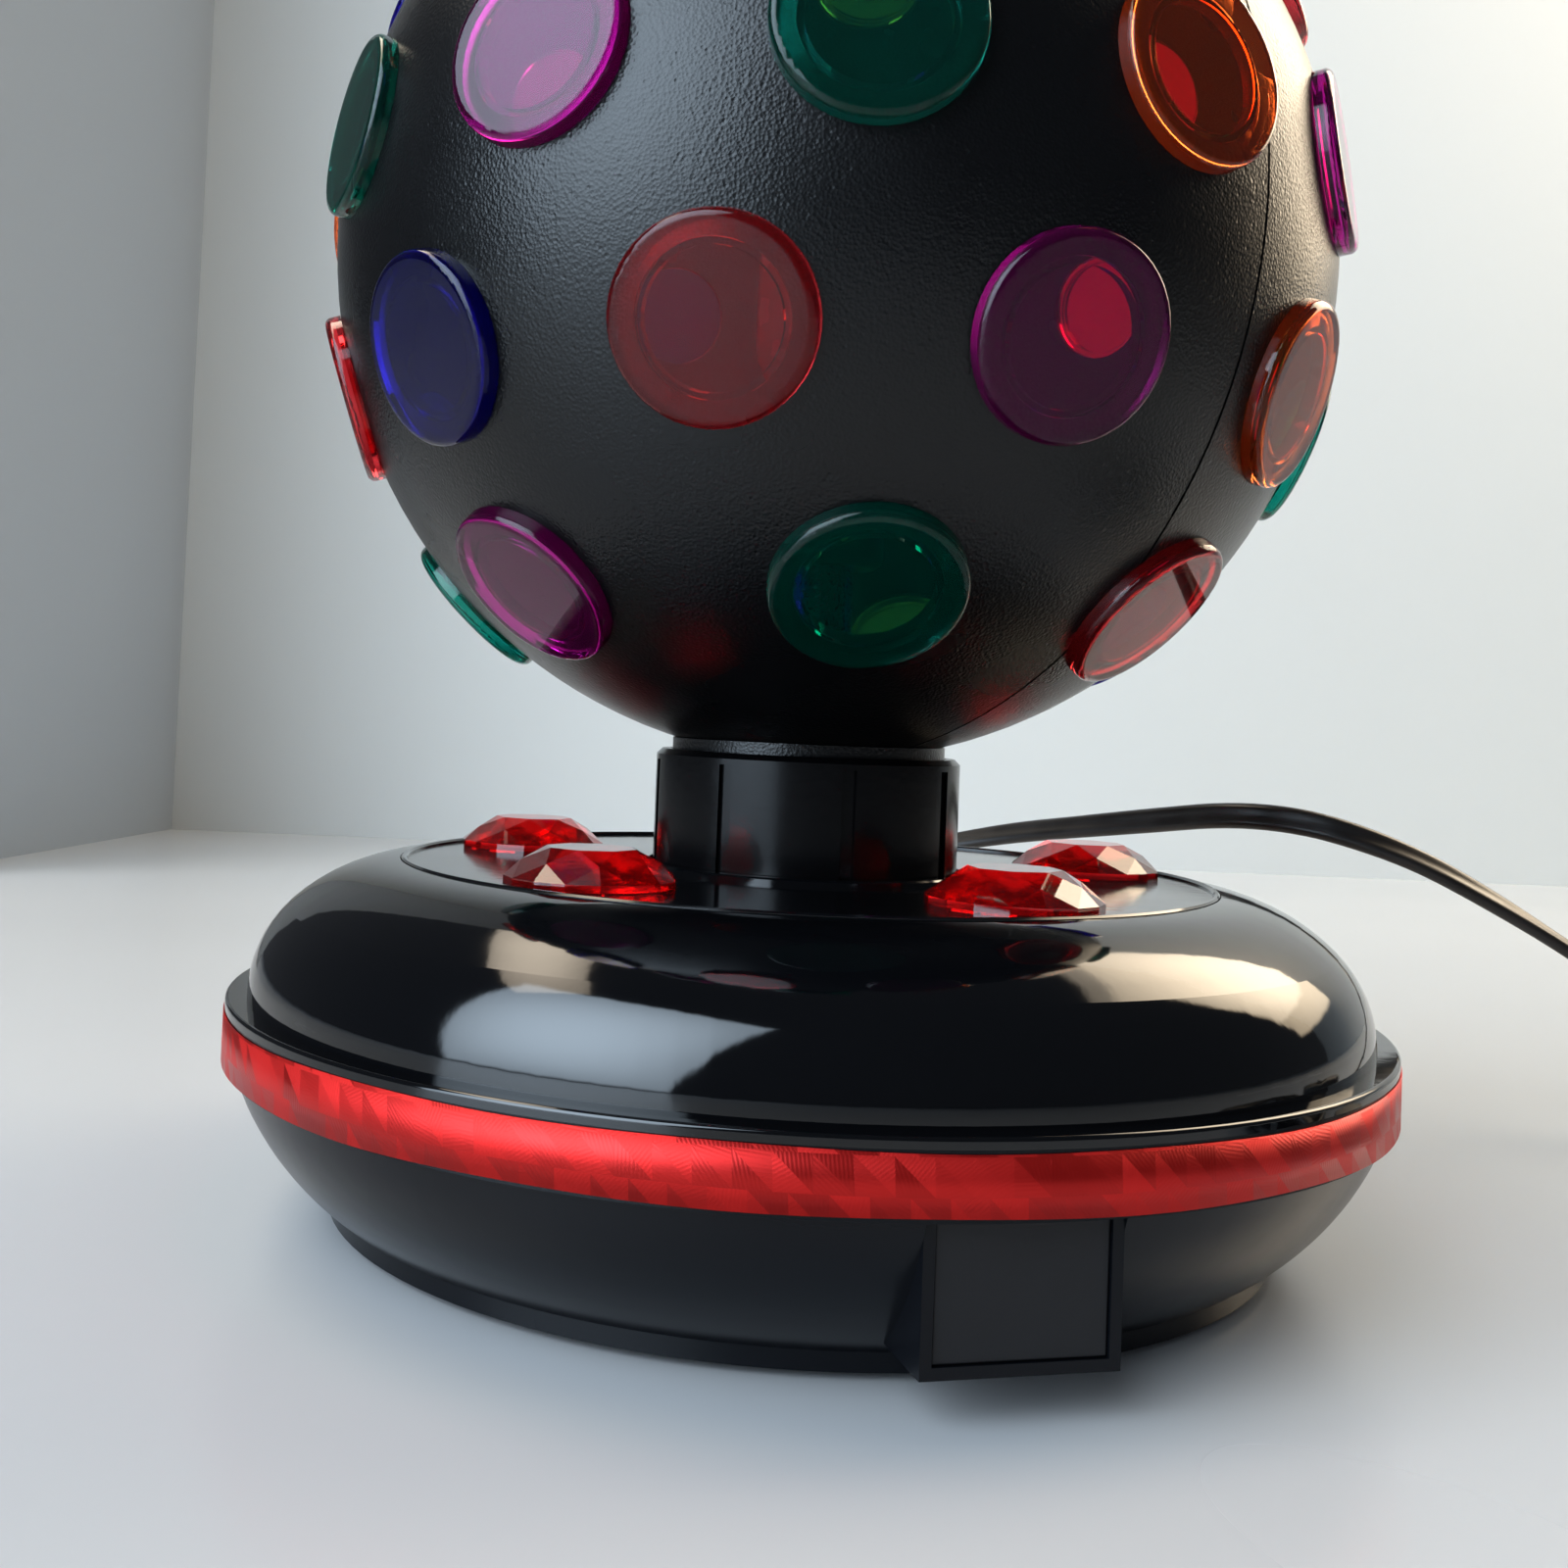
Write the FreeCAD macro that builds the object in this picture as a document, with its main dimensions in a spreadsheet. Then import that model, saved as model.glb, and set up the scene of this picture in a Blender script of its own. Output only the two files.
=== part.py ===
"""A rotating disco ball lamp: a lens-studded ball on a motor-driven neck, over a round two-part base.

Millimetres, +Z up. The origin is the middle of the base where it stands, and the front, with the blank
panel under the foil band, faces -Y. An azimuth is counted from the front towards +X.
"""
import FreeCAD
import Part
import Sketcher
import math
import os
from FreeCAD import Placement, Rotation, Vector

NUMBERS = (
    # base, from the table up
    ("foot_gap", 1.5, "height of the foot ring above the table"),
    ("foot_ring_radius", 93.0, "outer radius of the foot ring"),
    ("foot_ring_width", 3.0, "wall of the foot ring"),
    ("foot_ring_height", 3.5, "height of the foot ring"),
    ("floor_height", 4.5, "underside of the base floor"),
    ("base_wall", 2.5, "wall of both base shells"),
    ("bowl_start_radius", 94.0, "where the bowl leaves the foot ring"),
    ("bowl_step", 1.9, "how far the bowl's top stands inside the band"),
    ("bowl_arc", 49.0, "radius of the bowl's curve"),
    ("band_bottom", 30.0, "lower edge of the foil band"),
    ("band_height", 10.1, "height of the foil band"),
    ("band_radius", 113.9, "radius of the seat under the foil"),
    ("foil_thickness", 0.3, "foil band"),
    ("flange_thickness", 1.8, "rim of the dome above the foil"),
    ("flange_round", 0.7, "round of that rim"),
    ("dome_step", 3.9, "how far the dome stands inside the band"),
    ("dome_side_arc", 22.0, "radius of the dome's side curve"),
    ("dome_crown_radius", 80.0, "where the dome's top is level"),
    ("dome_top", 67.5, "highest level of the dome"),
    ("dome_shoulder", 25.2, "height of the dome's curve above its short straight foot"),
    ("skirt_depth", 5.0, "how far the dome's skirt reaches into the bowl"),
    ("skirt_gap", 0.15, "gap round the skirt"),
    ("deck_radius", 82.0, "deck plate"),
    ("deck_gap", 0.2, "gap round the deck plate"),
    ("deck_thickness", 2.0, "deck plate"),
    ("deck_drop", 0.3, "top of the deck plate below the top of the dome"),
    ("deck_rim_height", 0.7, "raised rim of the deck plate"),
    ("deck_rim_width", 1.3, "raised rim of the deck plate"),
    ("collar_turn_gap", 0.9, "gap round the neck collar where it turns in the deck"),
    ("deck_ring_width", 2.6, "low ring round that hole"),
    ("deck_ring_height", 1.1, "low ring round that hole"),
    ("deck_overhang", 1.9, "how far the deck plate covers the hole in the dome"),
    # front pod with its blank panel
    ("pod_width", 30.5, "front pod"),
    ("pod_step", 3.7, "how far the pod's face stands inside the band"),
    ("pod_bottom", 7.6, "underside of the pod"),
    ("pod_root", 95.0, "where the pod's sides end inside the wall"),
    ("pod_wall", 2.4, "wall of the pod"),
    ("panel_border", 1.8, "frame at the sides and foot of the blank panel"),
    ("panel_lip", 0.4, "frame over the panel"),
    ("panel_thickness", 1.0, "blank panel"),
    ("panel_recess", 0.5, "depth of the panel below its frame"),
    ("panel_fit", 0.15, "gap round the blank panel"),
    # gems on the deck
    ("gem_count", 5, "faceted gems"),
    ("gem_circle", 63.2, "radius of the circle of gems"),
    ("gem_phase", 18.0, "azimuth of the first gem"),
    ("gem_radius", 15.5, "gem outline"),
    ("gem_girdle", 1.5, "height of the gem's edge"),
    ("gem_height", 6.7, "gem"),
    ("gem_table_radius", 8.2, "flat top of the gem"),
    ("gem_break_radius", 12.4, "ring where the crown's slope changes"),
    # fasteners
    ("screw_radius", 1.5, "shank of all small screws"),
    ("screw_head_radius", 2.8, "head of all small screws"),
    ("screw_head_height", 2.0, "head of all small screws"),
    ("post_radius", 4.5, "screw posts of the base"),
    ("post_circle", 79.0, "radius of the circle of the base's screws"),
    ("post_pocket_top", 28.0, "level that the base screws' heads press on"),
    ("base_screw_length", 22.0, "shank of the base screws"),
    ("chassis_post_circle", 52.0, "radius of the circle of the chassis posts"),
    ("rubber_foot_circle", 80.0, "radius of the circle of the rubber feet"),
    ("rubber_foot_radius", 6.0, "rubber feet"),
    ("rubber_foot_sink", 1.0, "depth of the feet's seats in the floor"),
    ("vent_count", 8, "slots in the floor"),
    ("vent_inner", 30.0, "inner end of a slot"),
    ("vent_length", 22.0, "length of a slot"),
    ("vent_width", 4.0, "width of a slot"),
    # drive
    ("chassis_level", 40.0, "underside of the chassis plate"),
    ("chassis_thickness", 2.4, "chassis plate"),
    ("chassis_radius", 60.0, "chassis plate"),
    ("journal_radius", 17.95, "fixed tube that the hub turns on"),
    ("journal_bore", 14.4, "inside of that tube"),
    ("journal_stop", 6.5, "end of that tube below the top of the hub"),
    ("running_gap", 0.05, "radial clearance of each turning fit"),
    ("washer_thickness", 1.2, "thrust washer"),
    ("hub_sleeve_radius", 22.5, "hub below its shoulder"),
    ("hub_shoulder_radius", 25.0, "hub above its shoulder"),
    ("hub_flange_radius", 28.3, "top flange of the hub"),
    ("hub_flange_thickness", 3.0, "top flange of the hub"),
    ("hub_sink", 0.7, "top of the hub below the deck plate"),
    ("gear_web", 2.7, "web left round the holes of the ring gear"),
    ("tooth_module", 1.2, "pitch diameter over the number of teeth"),
    ("ring_teeth", 60, "teeth of the ring gear"),
    ("pinion_teeth", 15, "teeth of the drive pinion"),
    ("tooth_addendum", 0.8, "height of a tooth over the pitch circle, in modules"),
    ("tooth_dedendum", 1.1, "depth of a gap under the pitch circle, in modules"),
    ("tooth_backlash", 0.16, "thickness taken off each tooth"),
    ("pressure_angle", 20.0, "of the teeth"),
    ("ring_gear_bottom", 46.0, "underside of the ring gear"),
    ("ring_gear_width", 5.0, "face width of the ring gear"),
    ("pinion_overhang", 1.0, "how far the pinion stands past the ring gear"),
    ("motor_azimuth", 135.0, "where the motor hangs"),
    ("motor_radius", 24.5, "motor can"),
    ("motor_height", 20.8, "motor can"),
    ("motor_ear_span", 58.0, "distance between the motor's two screws"),
    ("motor_ear_thickness", 1.2, "motor's mounting plate"),
    ("motor_ear_half_width", 6.0, "half the width of that plate"),
    ("motor_ear_round", 6.5, "round of that plate's ends"),
    ("motor_shaft_radius", 3.5, "motor shaft"),
    # neck and ball
    ("collar_radius", 31.2, "neck collar"),
    ("collar_wall", 2.8, "neck collar"),
    ("collar_floor", 2.8, "floor of the collar"),
    ("collar_floor_bore", 20.5, "hole in the collar's floor"),
    ("collar_height", 26.5, "neck collar"),
    ("collar_bevel", 1.1, "bevel of its top edge"),
    ("groove_count", 8, "upright grooves round the collar"),
    ("groove_phase", -2.5, "azimuth of the first groove"),
    ("groove_width", 2.8, "groove"),
    ("groove_depth", 0.9, "groove"),
    ("groove_stop", 2.2, "distance of the grooves' ends from the top"),
    ("neck_depth", 12.0, "how far the ball's neck reaches into the collar, down to its ledge"),
    ("ledge_width", 2.8, "that ledge"),
    ("key_count", 3, "keys that drive the ball"),
    ("key_phase", 60.0, "azimuth of the first key"),
    ("key_width", 3.0, "key"),
    ("key_height", 5.0, "key"),
    ("key_gap", 0.4, "gap round the ball's neck and its notches"),
    ("collar_screw_circle", 24.3, "radius of the circle of the collar's screws"),
    ("ball_radius", 100.0, "ball"),
    ("ball_wall", 2.4, "ball"),
    ("neck_show", 2.5, "gap between the collar and the ball"),
    ("neck_wall", 2.6, "neck ring of the ball"),
    ("neck_groove", 0.8, "groove round it that the ball's halves close on"),
    ("neck_lip", 2.4, "wall of the neck ring over that groove"),
    ("seam_azimuth", 28.2, "azimuth of the plane where the halves meet"),
    ("seam_groove", 0.35, "depth and half width of the fine groove along the seam"),
    ("tongue_length", 3.0, "lip of the front half inside the back half"),
    ("tongue_wall", 1.2, "that lip"),
    # lenses
    ("lens_radius", 16.75, "lens flange"),
    ("lens_rim", 3.4, "height of the flange's edge above the ball"),
    ("lens_edge", 1.5, "round of the flange's edge"),
    ("lens_window", 2.0, "thickness of the window"),
    ("lens_plug_radius", 12.35, "tube behind the lens that fits the ball's hole"),
    ("lens_plug_wall", 1.1, "that tube"),
    ("lens_plug_gap", 0.15, "gap round that tube"),
    ("lens_seat_gap", 0.05, "gap under the flange"),
    ("lens_row_first", -44.0, "latitude of the lowest row"),
    ("lens_row_step", 26.0, "latitude from row to row"),
    # lamp
    ("lamp_tube_radius", 8.0, "tube that carries the lamp holder"),
    ("lamp_tube_wall", 2.0, "that tube"),
    ("lamp_tube_bottom", 33.0, "lower end of that tube"),
    ("lamp_tube_flange", 14.2, "flange that stands on the chassis"),
    ("lamp_tube_flange_thickness", 2.0, "that flange"),
    ("nut_flats", 22.0, "nut under the chassis, across flats"),
    ("nut_height", 5.0, "that nut"),
    ("holder_radius", 13.8, "lamp holder"),
    ("holder_drop", 59.5, "lower end of the lamp holder below the ball's middle"),
    ("holder_socket_depth", 4.0, "how far the tube reaches into it"),
    ("holder_floor", 5.0, "wall between the tube and the bulb"),
    ("holder_height", 34.0, "lamp holder"),
    ("holder_bore", 7.6, "hole for the bulb's cap"),
    ("contact_radius", 5.0, "contact in the holder's floor"),
    ("cap_radius", 7.0, "screw cap of the bulb"),
    ("cap_height", 24.0, "screw cap of the bulb"),
    ("cap_tip_radius", 2.4, "contact of the cap"),
    ("cap_tip_height", 2.0, "contact of the cap"),
    ("bulb_radius", 14.0, "glass of the bulb"),
    ("bulb_neck_radius", 6.9, "glass where it enters the cap"),
    ("bulb_neck_height", 2.0, "straight glass over the cap"),
    ("bulb_shoulder", 12.0, "height of the glass's taper over the cap"),
    ("bulb_glass_length", 42.0, "glass over the cap"),
    # cord and what is on it
    ("cord_width", 7.0, "flat twin cord, across"),
    ("outlet_height", 17.0, "level of the cord's outlet"),
    ("outlet_boss_radius", 9.0, "round boss at the outlet"),
    ("outlet_step", 3.9, "how far its face stands inside the band"),
    ("outlet_boss_root", 92.0, "inner end of that boss"),
    ("outlet_bore", 5.6, "hole for the strain relief"),
    ("relief_collar_radius", 7.4, "collar of the strain relief"),
    ("relief_collar_thickness", 2.4, "collar of the strain relief"),
    ("relief_tip_radius", 4.4, "end of the strain relief"),
    ("relief_tip", 136.0, "distance of that end from the axis"),
    ("relief_ring_count", 5, "grooves round the taper"),
    ("relief_ring_depth", 0.8, "those grooves"),
    ("switch_x", 282.0, "place of the cord switch"),
    ("switch_y", -66.0, "place of the cord switch"),
    ("switch_length", 60.0, "cord switch"),
    ("switch_width", 27.0, "cord switch"),
    ("switch_split", 8.5, "level where its halves meet"),
    ("switch_height", 17.5, "cord switch"),
    ("switch_round", 4.0, "round of its upright corners"),
    ("switch_edge", 1.6, "round of its long edges"),
    ("switch_wall", 2.0, "cord switch"),
    ("switch_cord_level", 7.0, "level of the cord at the switch"),
    ("switch_cord_reach", 6.0, "how far the cord runs into the switch"),
    ("switch_screw_x", 9.0, "screws of the switch, off its middle"),
    ("switch_screw_y", 21.0, "screws of the switch, off its middle"),
    ("rocker_half_length", 8.6, "rocker"),
    ("rocker_width", 11.0, "rocker"),
    ("rocker_pivot_level", 12.5, "level of the rocker's pin"),
    ("rocker_end_rise", 6.6, "rocker's ends above the pin"),
    ("rocker_middle_rise", 5.2, "rocker's middle above the pin"),
    ("rocker_tilt", 10.0, "tilt of the rocker at rest"),
    ("rocker_pin_radius", 1.2, "rocker's pin"),
    ("rocker_side_gap", 0.5, "gap beside the rocker"),
    ("rocker_end_gap", 1.5, "gap at the rocker's ends"),
    ("rocker_cheek", 2.0, "cheeks inside the switch that hold the pin"),
    ("rocker_cheek_half_length", 5.0, "those cheeks"),
    ("coil_gap", 0.9, "gap between the coil's turns"),
    ("coil_turns", 2.5, "turns in each of the two layers"),
    ("coil_mean_diameters", 11.0, "coil's middle turn, in cord widths"),
    ("coil_lift", 1.1, "gap under the coil for its tie"),
    ("coil_x", 233.625, "middle of the coil"),
    ("coil_y", -142.0, "middle of the coil"),
    ("tie_width", 5.0, "tie round the coil"),
    ("tie_thickness", 0.8, "tie round the coil"),
    ("plug_length", 32.0, "plug"),
    ("plug_width", 24.0, "plug"),
    ("plug_thickness", 13.0, "plug"),
    ("plug_neck_width", 10.0, "cord end of the plug"),
    ("plug_round", 3.0, "round of the plug's edges"),
    ("blade_length", 16.0, "plug blade"),
    ("blade_width", 6.3, "plug blade"),
    ("blade_thickness", 1.5, "plug blade"),
    ("blade_pitch", 12.7, "distance between the blades"),
    ("blade_root", 6.0, "how far a blade reaches into the plug"),
    # wiring inside the base
    ("lead_radius", 1.2, "insulated leads"),
    ("block_length", 24.0, "terminal block"),
    ("block_width", 14.0, "terminal block"),
    ("block_height", 12.0, "terminal block"),
    ("block_x", -38.0, "place of the terminal block"),
    ("block_y", 36.0, "place of the terminal block"),
)

# Lenses of each half, row by row from the lowest: how many, their step in degrees, and their colours from
# the left to the right of that half.
FRONT_ROWS = (
    (3, 51.4, ("green", "magenta", "green")),
    (5, 34.0, ("green", "red", "blue", "red", "magenta")),
    (6, 32.0, ("red", "orange", "green", "magenta", "green", "orange")),
    (5, 40.0, ("magenta", "blue", "orange", "green", "blue")),
    (3, 72.0, ("red", "green", "magenta")),
)
BACK_ROWS = (
    (4, 53.0, ("red", "blue", "orange", "magenta")),
    (6, 30.4, ("orange", "green", "magenta", "blue", "red", "orange")),
    (5, 34.0, ("magenta", "green", "red", "orange", "blue")),
    (4, 40.0, ("red", "magenta", "green", "orange")),
    (2, 72.0, ("blue", "orange")),
)

# Corners of the free cord from the strain relief to the switch, and the short lead to the coil.
CORD_ROUTE = (
    (0, 136, 17),
    (0, 168, 17),
    (22, 196, 27),
    (62, 196, 45),
    (104, 160, 62.5),
    (130, 108, 71.5),
    (147, 63, 78.5),
    (174, 46, 71),
    (203, 41, 56.5),
    (229, 34, 40),
    (255, 23, 21),
    (273, 4, 8.5),
    (281, -16, 6.6),
    (282, -30, 7),
    (282, -42, 7),
)
COIL_LEAD_ROUTE = ((282, -90, 7), (282, -100, 7), (282.6, -112, 5.8), (282, -124, 4.6), (282, -135, 4.6))
PLUG_LEAD_ROUTE = (
    (185.25, -135, 12.5),
    (185.25, -125, 12.5),
    (184.5, -112, 9.5),
    (185.25, -99, 6.5),
    (185.25, -86, 6.5),
)


class Size:
    """A number with the sheet's formula that gives it, so that a value and its binding never differ."""

    def __init__(self, value, formula):
        self.value = float(value)
        self.formula = formula

    def __add__(self, other):
        return Size(self.value + number(other), f"({self.formula} + {formula(other)})")

    def __radd__(self, other):
        return Size(number(other) + self.value, f"({formula(other)} + {self.formula})")

    def __sub__(self, other):
        return Size(self.value - number(other), f"({self.formula} - {formula(other)})")

    def __rsub__(self, other):
        return Size(number(other) - self.value, f"({formula(other)} - {self.formula})")

    def __mul__(self, other):
        return Size(self.value * number(other), f"({self.formula} * {formula(other)})")

    def __rmul__(self, other):
        return Size(number(other) * self.value, f"({formula(other)} * {self.formula})")

    def __truediv__(self, other):
        return Size(self.value / number(other), f"({self.formula} / {formula(other)})")

    def __rtruediv__(self, other):
        return Size(number(other) / self.value, f"({formula(other)} / {self.formula})")

    def __neg__(self):
        return Size(-self.value, f"(0 - {self.formula})")

    def __float__(self):
        return self.value


def number(size):
    return float(size)


def formula(size):
    if isinstance(size, Size):
        return size.formula
    return repr(float(size))


def root(size):
    return Size(math.sqrt(number(size)), f"sqrt({formula(size)})")


def cosine(angle):
    return Size(math.cos(math.radians(number(angle))), f"cos({formula(angle)})")


def sine(angle):
    return Size(math.sin(math.radians(number(angle))), f"sin({formula(angle)})")


class Sizes:
    """The sheet's cells as attributes."""


doc = FreeCAD.newDocument("disco_ball_lamp")
s = Sizes()
nodes = {}


def fill_sheet():
    sheet = doc.addObject("Spreadsheet::Sheet", "Sizes")
    for row, (alias, value, note) in enumerate(NUMBERS, start=1):
        sheet.set(f"A{row}", alias)
        sheet.set(f"B{row}", str(value))
        sheet.set(f"C{row}", note)
        sheet.setAlias(f"B{row}", alias)
        setattr(s, alias, Size(value, f"Sizes.{alias}"))
    doc.recompute()


def bind(thing, **sizes):
    """Sets properties from sizes, and ties them to the sheet."""
    for name, size in sizes.items():
        if isinstance(size, Size):
            setattr(thing, name, size.value)
            thing.setExpression(name, size.formula)
        else:
            setattr(thing, name, size)


def place(thing, x=0, y=0, z=0, azimuth=0, axis=Vector(0, 0, 1)):
    """Puts an object at a point, turned about an axis, with each size tied to the sheet."""
    spot = Vector(number(x), number(y), number(z))
    thing.Placement = Placement(spot, Rotation(axis, number(azimuth)))
    for name, size in (("x", x), ("y", y), ("z", z)):
        if isinstance(size, Size):
            thing.setExpression(f"Placement.Base.{name}", size.formula)
    if isinstance(azimuth, Size):
        thing.setExpression("Placement.Rotation.Angle", azimuth.formula)
    return thing


def cylinder(name, radius, height, **where):
    thing = doc.addObject("Part::Cylinder", name)
    bind(thing, Radius=radius, Height=height)
    return place(thing, **where)


def along_y(name, radius, length, y, z, x=0):
    """A cylinder that lies along Y from y, at the height z."""
    thing = doc.addObject("Part::Cylinder", name)
    bind(thing, Radius=radius, Height=length)
    return place(thing, x=x, y=y, z=z, azimuth=-90, axis=Vector(1, 0, 0))


def along_x(name, radius, length, x, y, z):
    """A cylinder that lies along X from x."""
    thing = doc.addObject("Part::Cylinder", name)
    bind(thing, Radius=radius, Height=length)
    return place(thing, x=x, y=y, z=z, azimuth=90, axis=Vector(0, 1, 0))


def sphere(name, radius, **where):
    thing = doc.addObject("Part::Sphere", name)
    bind(thing, Radius=radius)
    return place(thing, **where)


def box(name, length, width, height, **where):
    thing = doc.addObject("Part::Box", name)
    bind(thing, Length=length, Width=width, Height=height)
    return place(thing, **where)


def fuse(name, *parts):
    thing = doc.addObject("Part::MultiFuse", name)
    thing.Shapes = list(parts)
    thing.Refine = True
    return thing


def group(name, parts):
    thing = doc.addObject("Part::Compound", name)
    thing.Links = list(parts)
    return thing


def cut(name, base, *tools):
    thing = doc.addObject("Part::Cut", name)
    thing.Base = base
    thing.Tool = tools[0] if len(tools) == 1 else group(name + "_tools", tools)
    return thing


def common(name, *parts):
    thing = doc.addObject("Part::MultiCommon", name)
    thing.Shapes = list(parts)
    return thing


def spot(circle, azimuth):
    """Where an azimuth crosses a circle about the axis."""
    return {"x": circle * sine(azimuth), "y": -(circle * cosine(azimuth))}


def ring_of(name, count, circle, first, make):
    """Like parts at equal steps round a circle. make(name, x, y, azimuth) builds one."""
    made = []
    for index in range(int(number(count))):
        azimuth = first + index * (360 / count)
        made.append(make(f"{name}_{index + 1}", azimuth=azimuth, **spot(circle, azimuth)))
    return made


def node(name, thing):
    """Names a finished piece, which gets a file of its own."""
    thing.Label = name
    nodes[name] = thing
    return thing


def plane_of(body, role):
    for feature in body.Origin.OriginFeatures:
        if feature.Role == role:
            return feature
    raise ValueError(role)


def arc_of(start, end, radius, side):
    """The sketch arc from start to end with its middle on the left (side 1) or right (side -1)."""
    chord = end - start
    half = chord.Length / 2
    reach = math.sqrt(max(radius * radius - half * half, 0))
    left = Vector(-chord.y, chord.x, 0).normalize()
    middle = (start + end) * 0.5 + left * (side * reach)
    first, last = (start, end) if side > 0 else (end, start)
    angles = [math.atan2(p.y - middle.y, p.x - middle.x) for p in (first, last)]
    return Part.ArcOfCircle(Part.Circle(middle, Vector(0, 0, 1), radius), *angles)


def outline_sketch(body, name, role, corners, offset=0):
    """A closed sketch on one of the body's planes, every corner tied to the sheet.

    A corner is (x, y), or (x, y, radius, side) where an arc runs from it to the next corner.
    """
    sketch = body.newObject("Sketcher::SketchObject", name)
    sketch.AttachmentSupport = [(plane_of(body, role), "")]
    sketch.MapMode = "FlatFace"
    if offset:
        sketch.AttachmentOffset = Placement(Vector(0, 0, number(offset)), Rotation())
        if isinstance(offset, Size):
            sketch.setExpression("AttachmentOffset.Base.z", offset.formula)
    count = len(corners)
    points = [Vector(number(c[0]), number(c[1]), 0) for c in corners]
    ends = []
    for index, corner in enumerate(corners):
        start, end = points[index], points[(index + 1) % count]
        if len(corner) == 4:
            sketch.addGeometry(arc_of(start, end, number(corner[2]), corner[3]), False)
            ends.append((1, 2) if corner[3] > 0 else (2, 1))
        else:
            sketch.addGeometry(Part.LineSegment(start, end), False)
            ends.append((1, 2))
    for index in range(count):
        after = (index + 1) % count
        tie = Sketcher.Constraint("Coincident", index, ends[index][1], after, ends[after][0])
        sketch.addConstraint(tie)
    for index, corner in enumerate(corners):
        first = ends[index][0]
        for kind, line, value in (("DistanceX", -2, corner[0]), ("DistanceY", -1, corner[1])):
            if number(value) == 0:
                sketch.addConstraint(Sketcher.Constraint("PointOnObject", index, first, line))
                continue
            made = Sketcher.Constraint(kind, -1, 1, index, first, number(value))
            row = sketch.addConstraint(made)
            if isinstance(value, Size):
                sketch.setExpression(f"Constraints[{row}]", value.formula)
        if len(corner) == 4:
            row = sketch.addConstraint(Sketcher.Constraint("Radius", index, number(corner[2])))
            if isinstance(corner[2], Size):
                sketch.setExpression(f"Constraints[{row}]", corner[2].formula)
    return sketch


def turned(name, corners):
    """A body turned about the Z axis from its half profile of (radius, height) corners."""
    body = doc.addObject("PartDesign::Body", name)
    sketch = outline_sketch(body, name + "_profile", "XZ_Plane", corners)
    doc.recompute()
    spin = body.newObject("PartDesign::Revolution", name + "_turn")
    spin.Profile = (sketch, [""])
    spin.ReferenceAxis = (sketch, ["V_Axis"])
    spin.Angle = 360
    body.Tip = spin
    doc.recompute()
    return body


def padded(name, role, corners, length, offset=0, reverse=False, midplane=False):
    """A body pushed out of an outline on one of its own planes."""
    body = doc.addObject("PartDesign::Body", name)
    sketch = outline_sketch(body, name + "_outline", role, corners, offset)
    doc.recompute()
    pad = body.newObject("PartDesign::Pad", name + "_pad")
    pad.Profile = (sketch, [""])
    bind(pad, Length=length)
    pad.Reversed = reverse
    pad.Midplane = midplane
    body.Tip = pad
    doc.recompute()
    return body


def pocket(body, name, role, corners, depth, offset=0, reverse=False):
    """Cuts an outline out of a body, and stops if it cuts nothing."""
    before = body.Shape.Volume
    sketch = outline_sketch(body, name + "_outline", role, corners, offset)
    doc.recompute()
    made = body.newObject("PartDesign::Pocket", name)
    made.Profile = (sketch, [""])
    bind(made, Length=depth)
    made.Reversed = reverse
    body.Tip = made
    doc.recompute()
    if body.Shape.Volume >= before:
        raise ValueError(f"{name} cuts nothing")
    return made


def repeated(body, feature, name, count):
    """Repeats a feature of a body round the Z axis."""
    pattern = body.newObject("PartDesign::PolarPattern", name)
    pattern.Originals = [feature]
    pattern.Axis = (plane_of(body, "Z_Axis"), [""])
    pattern.Angle = 360
    pattern.Occurrences = int(number(count))
    pattern.setExpression("Occurrences", formula(count))
    body.Tip = pattern
    doc.recompute()
    return pattern


def rounded(body, name, radius, chosen):
    """Rounds the edges of a body that chosen(edge) picks."""
    base = body.Tip
    names = [f"Edge{i}" for i, edge in enumerate(base.Shape.Edges, start=1) if chosen(edge)]
    if not names:
        raise ValueError(f"{name} finds no edge")
    fillet = body.newObject("PartDesign::Fillet", name)
    fillet.Base = (base, names)
    bind(fillet, Radius=radius)
    body.Tip = fillet
    doc.recompute()
    return fillet


def feature(name, shape):
    """A piece whose shape this file works out itself."""
    thing = doc.addObject("Part::Feature", name)
    thing.Shape = shape
    return thing


def rectangle(x0, x1, y0, y1):
    return [(x0, y0), (x1, y0), (x1, y1), (x0, y1)]


def screw(name, head_level, length, x, y, head_up=True):
    """A pan-head screw: its head rests on head_level, and its shank runs the other way."""
    if head_up:
        shank_z, head_z = head_level - length, head_level
    else:
        shank_z, head_z = head_level, head_level - s.screw_head_height
    shank = cylinder(name + "_shank", s.screw_radius, length, x=x, y=y, z=shank_z)
    head = cylinder(name + "_head", s.screw_head_radius, s.screw_head_height, x=x, y=y, z=head_z)
    return fuse(name, shank, head)


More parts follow.
